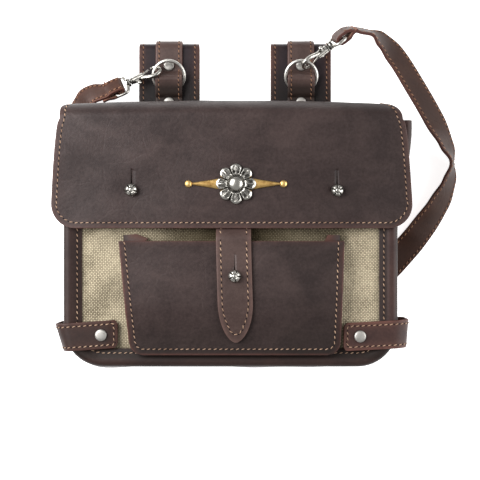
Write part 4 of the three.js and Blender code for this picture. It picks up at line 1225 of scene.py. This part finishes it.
tongueUnderLine, tongueTopLine = tongueLine()
tongueLooks = hideLooks("tongueHide")
tongueSlit = slitCutter("tongueSlit", tongueCut["studX"], tongueCut["studY"],
                        body["front"] + tongueCut["slitFrom"], tongueLooks, tongueCut["slitWidth"])
tongueStrap = sheetPiece("tongueStrap", tongueRows(), hideThick, tongueLooks, (20, upward), [tongueSlit],
                         tongueCut["rimRound"], tongueCut["fade"])
settle(tongueStrap, ["tongue"])
sewPiece("tongueStitches", [tongueSeam()], "tanThread", "strap_leather",
         pitch=tongueCut["pitch"], length=tongueCut["stitch"])
print("tongue ready")


# straps and loops cut as bands: a plane line spread over a width

def bandPiece(name, outer, width, lay, thick, looks, facing, roundEnd=0.0, columns=10):
    rows = []
    for point, run in zip(outer, runLengths(outer)):
        half = width / 2 - (roundInset(run, roundEnd) if roundEnd else 0)
        rows.append([lay(point, lerp(-half, half, share)) for share in seamColumns(columns, width)])
    return sheetPiece(name, rows, thick, looks, facing)


def bandRun(outer, lay, across):
    # a seam along a band, with the outward direction at each point
    raised = offsetLine(outer, 1.0)
    return [(lay(p, across), lay(q, across) - lay(p, across)) for p, q in zip(outer, raised)]


cornerCut = {"width": 19.5, "inner": 78, "level": 85, "tail": 8, "turn": 32, "shoulder": 9, "tuck": 13,
             "seam": 2.6, "seamRows": slice(2, -6), "endRound": 3, "step": 1.4, "leanRun": (104, 120)}
cornerSides = {
    "left": {"standOff": 4.4, "slope": 0.075, "dip": 0.7, "y": 22.4, "rivetX": -89.4, "lean": 0.3,
             "paintedShade": 0.62},
    "right": {"standOff": 6.2, "slope": 0.05, "dip": 0, "y": 21.5, "rivetX": 89.4, "lean": 0.08,
              "paintedShade": 0.0},
}


def cornerLine(side):
    c, onBand = cornerCut, body["front"] + seat
    out, close = body["half"] + side["standOff"], body["half"] + seat
    bend, corner, drop = [Vector(p) for p in (
        (body["half"] - body["roll"], onBand), (out, onBand), (out, onBand - c["shoulder"]))]
    points = [Vector((c["inner"], onBand - side["dip"])), Vector((c["level"], onBand)), bend]
    points += bezier(bend, bend.lerp(corner, 2 / 3), drop.lerp(corner, 2 / 3), drop, 10)[1:]
    turnIn, turnEnd = Vector((out, c["turn"])), Vector((close, c["turn"] - c["tuck"]))
    between = (turnIn.y + turnEnd.y) / 2
    points += bezier(turnIn, Vector((out, between)), Vector((close, between)), turnEnd, 10)
    return offsetLine(evenLine(points + [Vector((close, c["tail"]))], c["step"]), hideThick)


for name, side in cornerSides.items():
    def layCorner(p, across, side=side, sign=signs[name]):
        short = side["lean"] * (cornerCut["width"] / 2 - across) * smooth(p.x, *cornerCut["leanRun"])
        x = sign * (p.x - short)
        return Vector((x, side["y"] + across + side["slope"] * (x - side["rivetX"]), p.y))
    outer = cornerLine(side)
    strap = bandPiece(f"cornerStrap.{name}", outer, cornerCut["width"], layCorner, hideThick,
                      hideLooks("borderHide"), (8, upward), cornerCut["endRound"])
    # painted shade: the left corner strap is made darker than the right
    markPoints(strap, "paintedShade", [side["paintedShade"]] * len(strap.data.vertices))
    settle(strap, [f"corner_strap_{name}"])
    inset = cornerCut["width"] / 2 - cornerCut["seam"]
    shown = outer[cornerCut["seamRows"]]
    endRun = [(layCorner(shown[0], across), upward) for across in spread(6, -inset, inset)[1:-1]]
    seamRun = bandRun(shown, layCorner, -inset)[::-1] + endRun + bandRun(shown, layCorner, inset)
    sewPiece(f"cornerStitches.{name}", [seamRun], "tanThread", "leather")
print("corner straps ready")

loopCut = {"width": 44, "top": 232, "thick": 2.2, "high": 11, "end": 150, "rise": 168, "level": 190,
           "frontTo": 224, "backFrom": 222, "seam": 3.2, "seamRows": 46, "pitch": 3.6, "thread": 0.58,
           "paintedShade": 0.9, "paintedShadeRun": (216, 192)}
tabCut = {"width": 19.4, "thick": 1.8, "wrap": -35, "seam": 2.5, "seamRows": -3, "pitch": 3.4, "thread": 0.58,
          "paintedShade": 1.0, "paintedShadeRun": (205, 197)}
tabBulge = [  # height of the tab over the loop as it passes over the ring
    {"y": 184.2, "up": 0}, {"y": 190.4, "up": 0}, {"y": 192.8, "up": 0.4}, {"y": 194.2, "up": 1.9},
    {"y": 195.4, "up": 2.8}, {"y": 199, "up": 4.04}, {"y": 203.4, "up": 5.64}, {"y": 205.4, "up": 6},
    {"y": 207.6, "up": 3}, {"y": 209.6, "up": 0.7}, {"y": 211.6, "up": 0}, {"y": 217, "up": 0},
]


def foldOver(radius, turns):
    middle = loopCut["high"] / 2
    return [Vector((loopCut["top"] - middle + radius * math.cos(a), middle + radius * math.sin(a)))
            for a in turns]


def loopLine():
    c = loopCut
    low = 2 * c["thick"] + seat
    line = [Vector((y, lerp(low, c["high"], smooth(y, c["rise"], c["level"]))))
            for y in spread(34, c["end"] + c["thick"], c["frontTo"])]
    line += foldOver(c["high"] / 2, angles(18, 90, -90))
    return line + [Vector((y, 0)) for y in spread(24, c["backFrom"], c["end"])]


def tabLine():
    low = loopCut["high"] + seat
    line = splineLine([Vector((row["y"], low + row["up"])) for row in tabBulge], 5)
    line += foldOver(loopCut["high"] / 2 + seat, angles(14, 90, tabCut["wrap"]))
    return offsetLine(line, tabCut["thick"])


loopBands = [
    {"piece": "beltLoop", "node": "belt_loop", "stitches": "loopStitches", "cut": loopCut,
     "line": loopLine(), "hide": "loopHide", "slot": "leather", "facing": (12, upward)},
    {"piece": "ringTab", "node": "ring_tab", "stitches": "tabStitches", "cut": tabCut,
     "line": tabLine(), "hide": "tongueHide", "slot": "strap_leather", "facing": (6, upward)},
]
for name in signs:
    low, high = nodeBox(f"ring_{name}")

    def layLoop(p, across, loopX=(low.x + high.x) / 2):
        return Vector((loopX + across, p.x, p.y))
    for band in loopBands:
        cut, line = band["cut"], band["line"]
        made = bandPiece(f"{band['piece']}.{name}", line, cut["width"], layLoop, cut["thick"],
                         hideLooks(band["hide"]), band["facing"])
        # painted shade on loops and tabs where they come near the flap
        markPaintedShade(made, lambda x, y, z, cut=cut: cut["paintedShade"] * smooth(y, *cut["paintedShadeRun"]))
        settle(made, [f"{band['node']}_{name}"])
        inset = cut["width"] / 2 - cut["seam"]
        runs = [bandRun(line[:cut["seamRows"]], layLoop, across) for across in (-inset, inset)]
        sewPiece(f"{band['stitches']}.{name}", runs, "rustThread", band["slot"], pitch=cut["pitch"],
                 thread=cut["thread"])
print("belt loops ready")


# swivel hooks, placed by their joints

joints = {joint["name"]: joint for joint in frame["joints"]}
alongX = Matrix.Rotation(math.radians(90), 4, "Y")
eyeCut = {"collar": 3.3, "collarLong": 3.0, "post": 1.1, "postLong": 2.8, "wire": 1.1, "reach": 9.5,
          "spin": {"left": -36, "right": 66}}
collarTurning = [
    {"inset": 0.6, "at": 0}, {"inset": 0.12, "at": 0.18}, {"inset": 0, "at": 0.5}, {"inset": 0, "at": 0.95},
    {"inset": 0.5, "at": 1.15}, {"inset": 0.55, "at": 1.45}, {"inset": 0, "at": 1.7}, {"inset": 0, "at": 2.5},
    {"inset": 0.15, "at": 2.8}, {"inset": 0.5, "at": 3.0},
]
bailHalf = [  # from the collar round to the bar
    {"x": 0.9, "y": 0.8}, {"x": 0.4, "y": 3.6}, {"x": -0.2, "y": 6}, {"x": -1.2, "y": 7.6},
    {"x": -3.2, "y": 8.4}, {"x": -7.6, "y": 8.4}, {"x": -9.2, "y": 7.2}, {"x": -9.5, "y": 5.2},
]
hookCut = {"barrel": 2.7, "start": 3.3, "cheeks": 7.0, "cheekEnd": 12.6, "end": 14.0, "slot": 1.1,
           "cheekLap": 0.1, "cheekShort": 0.6, "heel": (0.72, 1.28), "wire": 1.25, "thick": 1.25,
           "thin": 0.82, "tip": 0.7, "bendX": 22, "bend": 4.6, "mouth": 112,
           "pin": 0.55, "head": 1.0, "headFlat": 0.85, "headEase": 0.25, "headProud": 0.15}
barrelTurning = [
    {"inset": 0.8, "at": 0}, {"inset": 0, "at": 0.7}, {"inset": 0, "at": 1.2}, {"inset": 0.4, "at": 1.45},
    {"inset": 0.4, "at": 1.8}, {"inset": 0, "at": 2.1},
]
shankLine = [{"x": 11.8, "y": -1.3}, {"x": 14, "y": -2.1}, {"x": 16.6, "y": -3.4}, {"x": 19, "y": -4.35}]
gateCut = {"bar": (1.0, 0.7), "barFlat": 0.8, "stem": (0.8, 0.6), "bore": 0.9, "boss": 1.35, "bossHalf": 0.8,
           "knob": 1.5, "knobAt": (9.3, -5.2, 0)}
gatePivot = {"x": 10.5, "y": 0.6}
gateBar = [gatePivot, {"x": 12.6, "y": 1.5}, {"x": 15.5, "y": 2.9}, {"x": 18.5, "y": 4.25}]
gateStem = [gatePivot, {"x": 9.9, "y": -2}, {"x": 9.4, "y": -4.6}]
toPivot = Matrix.Translation((gatePivot["x"], gatePivot["y"], 0))


def hookMatrix(name):
    swivel, gate = joints[f"hook_{name}_swivel"], joints[f"gate_{name}_hinge"]
    along, up = Vector(swivel["axis"]).normalized(), (-Vector(gate["axis"])).normalized()
    across = up.cross(along).normalized()
    turn = Matrix((along, across, along.cross(across))).transposed().to_4x4()
    return Matrix.Translation(toPouch(swivel["pos_m"])) @ turn


def eyeMatrix(name):
    swivel = joints[f"hook_{name}_swivel"]
    turn = math.atan2(swivel["axis"][1], swivel["axis"][0])
    return (Matrix.Translation(toPouch(swivel["pos_m"])) @ Matrix.Rotation(turn, 4, "Z")
            @ Matrix.Rotation(math.radians(eyeCut["spin"][name]), 4, "X"))


def planeLine(rows):
    return [Vector((row["x"], row["y"])) for row in rows]


def rodPart(line, radii, sides, flat=1.0):
    return tubePart([(p.x, p.y, 0) for p in line], radii, sides, flat=flat)


def taper(line, ends):
    return [lerp(*ends, i / (len(line) - 1)) for i in range(len(line))]


def prismPart(outline, low, high, dark=0.1):
    # a plane outline of (y, z) pairs drawn along X
    verts = [Vector((x, y, z)) for x in (low, high) for y, z in outline]
    return verts, prismFaces(len(outline)), [dark] * len(verts)


def ballPart(radius, middle, steps=20):
    profile = [(radius * math.sin(a), -radius * math.cos(a)) for a in angles(10, 0, 180)]
    profile[0], profile[-1] = (0, -radius), (0, radius)
    return movedPart(turnedPart(profile, steps), Matrix.Translation(middle))


def grooved(full, deep=0.45, core=0.5):
    # turned grooves are dark where they lie below the full radius
    def shape(radius, high, angle):
        return radius, high, clamp01((full - radius) / deep) if radius > full * core else 0
    return shape


def eyeParts():
    e = eyeCut
    postEnd = e["collarLong"] + e["postLong"]
    profile = [(0, 0)] + [(e["collar"] - row["inset"], row["at"]) for row in collarTurning]
    profile += [(e["post"], e["collarLong"]), (e["post"], postEnd), (0, postEnd)]
    half = planeLine(bailHalf)
    bail = splineLine(half + [Vector((p.x, -p.y)) for p in reversed(half)], 5)
    return [movedPart(turnedPart(profile, 32, grooved(e["collar"])), alongX),
            rodPart(bail, [e["wire"]] * len(bail), 12)]


def hookParts():
    h = hookCut
    r, slot = h["barrel"], h["slot"]
    profile = [(0, h["start"])] + [(r - row["inset"], h["start"] + row["at"]) for row in barrelTurning]
    profile += [(r, h["cheeks"]), (0, h["cheeks"])]
    parts = [movedPart(turnedPart(profile, 28, grooved(r)), alongX)]

    def arc(low, high):
        return [(r * math.cos(a), r * math.sin(a)) for a in spread(14, low, high)]
    edge = math.asin(slot / r)
    for side in (1, -1):
        cheek = [(y, side * z) for y, z in arc(edge, math.pi - edge)]
        parts.append(prismPart(cheek, h["cheeks"] - h["cheekLap"], h["end"] - h["cheekShort"]))
    heel = arc(math.pi * h["heel"][0], math.pi * h["heel"][1])
    parts.append(prismPart(heel, h["cheekEnd"], h["end"]))
    bend = [Vector((h["bendX"] + h["bend"] * math.cos(a), h["bend"] * math.sin(a)))
            for a in angles(8, -90, h["mouth"])]
    claw = splineLine(planeLine(shankLine) + bend, 4)
    radii = [h["wire"] * lerp(h["thick"], h["thin"], smooth(share, 0, 1)) for share in taper(claw, (0, 1))]
    radii[-1] *= h["tip"]
    parts.append(rodPart(claw, radii, 14))
    for low, high in ((-r - h["headProud"], -slot), (slot, r + h["headProud"])):
        head = [(0, low), (h["headFlat"], low), (h["head"], low + h["headEase"]),
                (h["head"], high - h["headEase"]), (h["headFlat"], high), (0, high)]
        parts.append(movedPart(turnedPart(head, 18), toPivot))
    pin = [(0, -slot), (h["pin"], -slot), (h["pin"], slot), (0, slot)]
    parts.append(movedPart(turnedPart(pin, 14), toPivot))
    return parts


def gateParts():
    g = gateCut
    bar, stem = splineLine(planeLine(gateBar), 4), splineLine(planeLine(gateStem), 4)
    low, high = -g["bossHalf"], g["bossHalf"]
    boss = turnedPart([(g["bore"], low), (g["boss"], low), (g["boss"], high), (g["bore"], high),
                       (g["bore"], low)], 20)
    return [rodPart(bar, taper(bar, g["bar"]), 12, g["barFlat"]), rodPart(stem, taper(stem, g["stem"]), 12),
            movedPart(boss, toPivot), ballPart(g["knob"], g["knobAt"])]


for name in signs:
    eye = metalPiece(f"swivelEye.{name}", eyeParts(), eyeMatrix(name), "antiqueSilver")
    settle(eye, [f"swivel_eye_{name}"])
    hook = metalPiece(f"hookBody.{name}", hookParts(), hookMatrix(name), "antiqueSilver")
    settle(hook, [f"hook_body_{name}"], f"hook_{name}")
    gate = metalPiece(f"hookGate.{name}", gateParts(), hookMatrix(name), "antiqueSilver")
    settle(gate, [f"hook_gate_{name}"], f"gate_{name}")
print("hooks ready")


# rings, rivets and studs take their places from the frame

ringCut = {"wire": 1.25, "tilt": 20, "steps": 72, "sides": 16}
for name in signs:
    low, high = nodeBox(f"ring_{name}")
    radius = (high.x - low.x) / 2 - ringCut["wire"]
    hoop = [(radius * math.cos(a), radius * math.sin(a), 0) for a in spread(ringCut["steps"], 0, 2 * math.pi)]
    wire = tubePart(hoop[:-1], [ringCut["wire"]] * ringCut["steps"], ringCut["sides"], closed=True)
    turn = Matrix.Translation((low + high) / 2) @ Matrix.Rotation(math.radians(ringCut["tilt"]), 4, "X")
    ring = metalPiece(f"ring.{name}", [wire], turn, "polishedNickel")
    settle(ring, [f"ring_{name}"])


def standing(node):
    # the middle of a node's foot, as a matrix, and the size of its box
    low, high = nodeBox(node)
    middle = (low + high) / 2
    return Matrix.Translation((middle.x, middle.y, low.z)), high - low


rivetDome = [  # shares of the head's radius and height
    {"radius": 0, "high": 0}, {"radius": 0.94, "high": 0}, {"radius": 1, "high": 0.1},
    {"radius": 1, "high": 0.34}, {"radius": 0.97, "high": 0.56}, {"radius": 0.9, "high": 0.74},
    {"radius": 0.76, "high": 0.87}, {"radius": 0.5, "high": 0.96}, {"radius": 0.24, "high": 0.99},
    {"radius": 0, "high": 1},
]
rivetSlots = {f"ring_rivet_{side}_{spot}": "nickel" for side in signs for spot in ("upper", "lower")}
rivetSlots.update({f"corner_rivet_{side}": "antique_silver" for side in signs})
for node, slotName in rivetSlots.items():
    foot, size = standing(node)
    head = turnedPart([(row["radius"] * size.x / 2, row["high"] * size.z) for row in rivetDome], 36)
    settle(metalPiece(node.replace("_", "."), [head], foot, "dullNickel"), [node])

studCut = {"head": 4.3, "neck": 1.9, "tall": 5.4, "brow": 0.36, "browFrom": 0.6, "swell": 0.92,
           "cuts": 5, "cutWide": 0.42, "cutDeep": 0.72, "cutRamp": 0.16, "cutFrom": 0.42, "pinch": 0.1,
           "ringAt": 0.38, "ringWide": 0.09, "ringDeep": 0.7, "dark": 0.85,
           "flange": 4.6, "flangeTall": 0.9, "flangeEase": 1.3, "longNeck": 4}
studSpins = {"stud_left": 0.3, "stud_right": 0.9, "stud_tongue": 0.1}


def studShape(foot, spin):
    # a ring and cuts from it to the edge of the cap
    s = studCut

    def shape(radius, high, angle):
        share = radius / s["head"]
        if high < foot + s["cutFrom"] * s["tall"] or share < 1e-6:
            return radius, high, 0
        step = 2 * math.pi / s["cuts"]
        off = (angle + spin + step / 2) % step - step / 2
        cut = hump(off * radius, 0, s["cutWide"]) * smooth(share, s["ringAt"], s["ringAt"] + s["cutRamp"])
        deep = max(cut, s["ringDeep"] * hump(share, s["ringAt"], s["ringWide"]))
        return radius * (1 - s["pinch"] * cut), high - s["cutDeep"] * deep, s["dark"] * deep
    return shape


def studProfile(neckTop):
    s = studCut
    flange = [(s["neck"], 0)]
    if neckTop > s["longNeck"]:
        flange = [(s["flange"], 0), (s["flange"], s["flangeTall"]), (s["neck"], s["flangeEase"])]
    brow = [(s["head"] * math.sin(a), neckTop + s["tall"] * s["brow"] * (1 - math.cos(a)))
            for a in spread(6, s["browFrom"], math.pi / 2)]
    cap = [(s["head"] * math.cos(a) ** s["swell"],
            neckTop + s["tall"] * (s["brow"] + (1 - s["brow"]) * math.sin(a)))
           for a in spread(22, 0, math.pi / 2)[1:-1]]
    return [(0, 0)] + flange + [(s["neck"], neckTop)] + brow + cap + [(0, neckTop + s["tall"])]


for node, spin in studSpins.items():
    foot, size = standing(node)
    neckTop = size.z - studCut["tall"]
    head = turnedPart(studProfile(neckTop), 80, studShape(neckTop, spin))
    settle(metalPiece(node.replace("_", "."), [head], foot, "antiqueSilver"), [node])
print("rings, rivets and studs ready")


# badge: brass lozenge under an antique silver rosette

plateCut = {"waist": 6, "neck": 0.8, "end": 2.6, "edge": 0.3, "dark": 0.45, "darkRun": (0.08, 0.45),
            "sideDark": 0.2}
rosetteCut = {"full": 14.0, "rim": 1.4, "swell": 1.8, "swellFrom": 14.4, "swellRun": 12, "swellEase": 0.7,
              "petals": 8, "petalDepth": 2.4, "petalFrom": (0.35, 1), "petalEnds": (13.6, 0.8),
              "grooveWide": 0.2, "grooveFrom": (0.34, 0.5), "sunkSide": (0.42, 0.6), "sunkIn": (0.5, 0.56),
              "sunkOut": (0.9, 0.83), "vein": 0.03, "sunkDeep": 0.7, "boss": 5, "bossDome": 2.6,
              "bossFoot": (0.2, 2.8), "bossGroove": (0.5, 0.55), "deep": 1.1, "dark": 1.05,
              "base": 0.2, "baseDark": 0.3}
notchCut = {"long": 80, "wide": 9.6}  # room for the plate under the rosette


def plateParts(size):
    p = plateCut
    long, wide, tall = size.x / 2, size.y / 2, size.z
    ball = long - p["end"]
    tip = ball - p["end"] * math.cos(math.asin(p["neck"] / p["end"]))
    verts, faces = [], []
    xs = spread(48, -tip, tip)
    shares = spread(12, -1, 1)
    for x in xs:
        half = lerp(wide, p["neck"], max(0, abs(x) - p["waist"]) / (tip - p["waist"]))
        for v in shares:
            verts.append(Vector((x, half * v, tall * lerp(p["edge"], 1, (1 - v * v) ** 0.5))))
        verts += [Vector((x, half, 0)), Vector((x, -half, 0))]
    count = len(shares) + 2
    for i in range(len(xs) - 1):
        for k in range(count):
            a, c = i * count + k, i * count + (k + 1) % count
            faces.append((a, c, c + count, a + count))
    faces += [tuple(range(count)), tuple(reversed(range((len(xs) - 1) * count, len(xs) * count)))]
    dark = [p["dark"] * smooth(1 - abs(v), *p["darkRun"]) for v in shares] + [p["sideDark"]] * 2
    parts = [(verts, faces, dark * len(xs))]  # painted highlight along the top's edges, painted shade over the middle and on the sides
    dome = [(p["end"] * math.cos(a), tall * math.sin(a)) for a in spread(8, 0, math.pi / 2)[:-1]]
    for x in (-ball, ball):
        parts.append(movedPart(turnedPart([(0, 0)] + dome + [(0, tall)], 28), Matrix.Translation((x, 0, 0))))
    return parts


def rosetteShape(radius, high, angle):
    r = rosetteCut
    share = radius / r["full"]
    petal = abs(math.cos(r["petals"] * angle / 2))
    edge = 1 - r["petalDepth"] / r["full"] * (1 - petal) * smooth(share, *r["petalFrom"])
    if high < r["base"] or share < 1e-6:
        return radius * edge, high, r["baseDark"]
    groove = hump(petal, 0, r["grooveWide"]) * smooth(share, *r["grooveFrom"])
    sunk = smooth(petal, *r["sunkSide"]) * smooth(share, *r["sunkIn"]) * smooth(share, *r["sunkOut"])
    sunk *= 1 - hump(petal, 1, r["vein"])
    bossGroove = hump(radius, r["boss"] + r["bossGroove"][0], r["bossGroove"][1])
    deep = clamp01(max(groove, r["sunkDeep"] * sunk, bossGroove))
    return radius * edge, high - r["deep"] * deep, clamp01(deep * r["dark"])


def rosettePart(tall):
    r = rosetteCut
    boss, (outer, inner), (spare, drop) = r["boss"], r["petalEnds"], r["bossFoot"]
    petals = []
    for radius in spread(30, outer, boss + inner):
        arch = math.sin(math.pi * clamp01((r["swellFrom"] - radius) / r["swellRun"]))
        petals.append((radius, r["rim"] + r["swell"] * arch ** r["swellEase"]))
    dome = [(boss * math.cos(a), tall - r["bossDome"] + r["bossDome"] * math.sin(a))
            for a in spread(10, 0, math.pi / 2)[:-1]]
    profile = [(0, 0), (r["full"], 0), (r["full"], r["rim"])] + petals + [(boss + spare, tall - drop)]
    return turnedPart(profile + dome + [(0, tall)], 192, rosetteShape)


plateFoot, plateSize = standing("badge_plate")
plate = metalPiece("badge.plate", plateParts(plateSize), plateFoot, "agedBrass")
settle(plate, ["badge_plate"])
rosetteFoot, rosetteSize = standing("badge_rosette")
rosette = metalPiece("badge.rosette", [rosettePart(rosetteSize.z)], rosetteFoot, "antiqueSilver")
bpy.ops.mesh.primitive_cube_add(size=1)
notch = bpy.context.active_object
notch.location = place(rosetteFoot.translation)
notch.scale = (notchCut["long"] * mm, notchCut["wide"] * mm, 2 * (plateSize.z + seat) * mm)
bpy.context.view_layer.update()
cutOut(rosette, [notch])
settle(rosette, ["badge_rosette"])
print("badge ready")


# shoulder strap: from the right eye, out to the right, behind the pouch, to the left eye

strapCut = {"width": 19, "endWidth": 12.6, "tailWidth": 13, "thick": 2.2, "tail": 11, "pinch": 6,
            "slack": 3.4, "clear": 0.2, "easeRows": 3, "seam": 2.0, "seamRows": slice(60, -52), "edge": 0.9,
            "fade": 2.2, "paintedShade": 0.4, "paintedShadeRun": (60, 130)}
strapRoute = [  # roll: lean in degrees, right-hand edge up; lift: height where it hangs clear
    {"x": 93, "y": 240, "roll": 70, "lift": 16.5}, {"x": 101, "y": 239, "roll": 74, "lift": 12.5},
    {"x": 110, "y": 234.5, "roll": 50, "lift": 9.5}, {"x": 121, "y": 223, "roll": 34},
    {"x": 135, "y": 201, "roll": 32}, {"x": 149, "y": 176.5, "roll": 33}, {"x": 158, "y": 157.5, "roll": 52},
    {"x": 161.6, "y": 144.5, "roll": 76}, {"x": 159.8, "y": 131, "roll": 55},
    {"x": 152.5, "y": 114.5, "roll": 34}, {"x": 139.5, "y": 95, "roll": 14}, {"x": 128, "y": 80.5, "roll": 0},
    {"x": 108, "y": 60, "roll": 0}, {"x": 80, "y": 42, "roll": 0}, {"x": 40, "y": 29, "roll": 0},
    {"x": -5, "y": 27, "roll": 0}, {"x": -48, "y": 42, "roll": 0}, {"x": -82, "y": 76, "roll": 0},
    {"x": -102, "y": 118, "roll": 0}, {"x": -110, "y": 156, "roll": 0}, {"x": -112, "y": 176, "roll": 0},
    {"x": -107.6, "y": 188.4, "roll": 30}, {"x": -101.2, "y": 193.6, "roll": 36, "lift": 13.4},
    {"x": -94, "y": 195, "roll": 37, "lift": 17.4},
]


def foldedEnd(name, outward, face):
    # tail, round the eye's bar, and away along the strap; face is the side of the bar on which it leaves
    c, e = strapCut, eyeCut
    matrix = eyeMatrix(name)
    turn = matrix.to_3x3()
    bar = matrix @ Vector((-e["reach"], 0, 0))
    away, across = turn @ Vector((-1, 0, 0)), turn @ Vector((0, outward, 0))
    over = across.cross(away) * face
    radius = e["wire"] + seat + c["thick"] / 2 + c["clear"]
    near = (c["thick"] + seat) / 2
    rows = [(c["tail"], -near), (c["pinch"], -near - c["clear"]), (c["pinch"] / 2, -radius)]
    rows += [(-c["slack"] - radius * math.cos(a), radius * math.sin(a)) for a in angles(6, -90, 90)]
    rows += [(c["pinch"] / 2, radius), (c["pinch"], near + c["clear"])]
    made = []
    for i, (a, b) in enumerate(rows):
        width = lerp(c["tailWidth"], c["endWidth"], min(1, i / c["easeRows"]))
        made.append((bar + away * a + over * b, across, width))
    return made


def strapStations():
    c, last = strapCut, len(strapRoute) - 1
    made = []
    for i, row in enumerate(strapRoute):
        before, after = strapRoute[max(0, i - 1)], strapRoute[min(i + 1, last)]
        along = Vector((after["x"] - before["x"], after["y"] - before["y"])).normalized()
        lean = math.radians(row["roll"])
        across = Vector((along.y * math.cos(lean), -along.x * math.cos(lean), math.sin(lean)))
        rest = (c["width"] * math.sin(lean) + c["thick"] * math.cos(lean)) / 2
        ease = min(1, (min(i, last - i) + 1) / c["easeRows"])
        made.append((Vector((row["x"], row["y"], row.get("lift", rest))), across,
                     lerp(c["endWidth"], c["width"], ease)))
    return foldedEnd("right", 1, 1) + made + list(reversed(foldedEnd("left", -1, -1)))


def routePoint(points, spot):
    # a smooth line through points, its speed eased by their distances
    low = min(int(spot), len(points) - 2)
    t = spot - low
    b, c = points[low], points[low + 1]
    a = points[low - 1] if low > 0 else b * 2 - c
    d = points[low + 2] if low + 2 < len(points) else c * 2 - b
    ab, bc, cd = [max(1e-4, math.sqrt((q - p).length)) for p, q in ((a, b), (b, c), (c, d))]
    first = ((b - a) / ab - (c - a) / (ab + bc) + (c - b) / bc) * bc
    last = ((c - b) / bc - (d - b) / (bc + cd) + (d - c) / cd) * bc
    square, cube = c * 3 - b * 3 - first * 2 - last, b * 2 - c * 2 + first + last
    return b + first * t + square * t * t + cube * t ** 3


def strapRows(stations, steps=6, ahead=0.02):
    points = [station[0] for station in stations]
    end = len(stations) - 1
    rows = []
    for spot in spread(steps * end, 0, end):
        low = min(int(spot), end - 1)
        share = smooth(spot - low, 0, 1)
        along = routePoint(points, min(spot + ahead, end)) - routePoint(points, max(0, spot - ahead))
        along.normalize()
        across = stations[low][1].lerp(stations[low + 1][1], share)
        across = (across - along * across.dot(along)).normalized()
        normal = across.cross(along)
        half = lerp(stations[low][2], stations[low + 1][2], share) / 2
        point = routePoint(points, spot)
        point.z = max(point.z, abs(across.z) * half + abs(normal.z) * strapCut["thick"] / 2)
        rows.append((point, across, normal, half))
    return rows


def strapFace(row, reach):
    # a point on the strap's outer face, at a distance from its middle
    point, across, normal, half = row
    return point + across * reach + normal * strapCut["thick"] / 2


strapLine = strapRows(strapStations())
strapColumns = seamColumns(6, strapCut["width"], strapCut["edge"])
strapSheet = [[strapFace(row, lerp(-row[3], row[3], share)) for share in strapColumns] for row in strapLine]
middleRow = len(strapLine) // 2
shoulderStrap = sheetPiece("shoulderStrap", strapSheet, strapCut["thick"], hideLooks("strapHide"),
                           (middleRow, strapLine[middleRow][2]), fade=strapCut["fade"])
# painted shade towards the right of the strap
markPaintedShade(shoulderStrap, lambda x, y, z: strapCut["paintedShade"] * smooth(x, *strapCut["paintedShadeRun"]))
settle(shoulderStrap, ["shoulder_strap"])
strapSeam = [[(strapFace(row, sign * (row[3] - strapCut["seam"])), row[2])
              for row in strapLine[strapCut["seamRows"]]] for sign in signs.values()]
sewPiece("strapStitches", strapSeam, "rustThread", "strap_leather")
print("shoulder strap ready")


# floor, light and camera

floorCut = {"half": 60, "z": -0.0002, "shade": (0.93, 0.93, 0.93, 1), "glow": 0.8}  # a table lit from below
skyGlow = 0.42
softBoxes = [
    {"name": "key", "at": (-520, 320, 560), "size": 0.6, "watts": 12.2},
    {"name": "fill", "at": (640, 120, 350), "size": 0.6, "watts": 5.2},
]
lampTarget = (0, 100, 40)
cameraCut = {"at": (6.55, 88, 900), "view": 354.9, "sensor": 36, "near": 0.01}  # view: width at the table
white = (1, 1, 1, 1)

floorHalf, floorZ = floorCut["half"], floorCut["z"]
floorCorners = [(x * floorHalf, y * floorHalf, floorZ) for x, y in ((-1, -1), (1, -1), (1, 1), (-1, 1))]
floorMesh = bpy.data.meshes.new("floor")
floorMesh.from_pydata(floorCorners, [], [(0, 1, 2, 3)])
floorMaterial = bpy.data.materials.new("paleFloor")
floorMaterial.use_nodes = True
floorLook = {"Base Color": floorCut["shade"], "Roughness": 0.9, "Emission Color": white,
             "Emission Strength": floorCut["glow"]}
for label, value in floorLook.items():
    floorMaterial.node_tree.nodes["Principled BSDF"].inputs[label].default_value = value
floorMesh.materials.append(floorMaterial)
floor = bpy.data.objects.new("floor", floorMesh)
bpy.context.scene.collection.objects.link(floor)

world = bpy.data.worlds.new("studio")
bpy.context.scene.world = world
world.use_nodes = True
background = world.node_tree.nodes["Background"].inputs
background["Color"].default_value = white
background["Strength"].default_value = skyGlow

for box in softBoxes:
    lamp = bpy.data.lights.new(box["name"], "AREA")
    lamp.size = box["size"]
    lamp.energy = box["watts"]
    lampObject = bpy.data.objects.new(box["name"], lamp)
    lampObject.location = place(box["at"])
    aim = place(lampTarget) - lampObject.location
    lampObject.rotation_euler = aim.to_track_quat("-Z", "Y").to_euler()
    bpy.context.scene.collection.objects.link(lampObject)

camera = bpy.data.cameras.new("photo")
camera.sensor_width = cameraCut["sensor"]
camera.lens = camera.sensor_width * cameraCut["at"][2] / cameraCut["view"]
camera.clip_start = cameraCut["near"]
cameraObject = bpy.data.objects.new("photo", camera)
cameraObject.location = place(cameraCut["at"])
bpy.context.scene.collection.objects.link(cameraObject)
bpy.context.scene.camera = cameraObject
bpy.context.scene.view_settings.view_transform = "Standard"
print("stage ready")
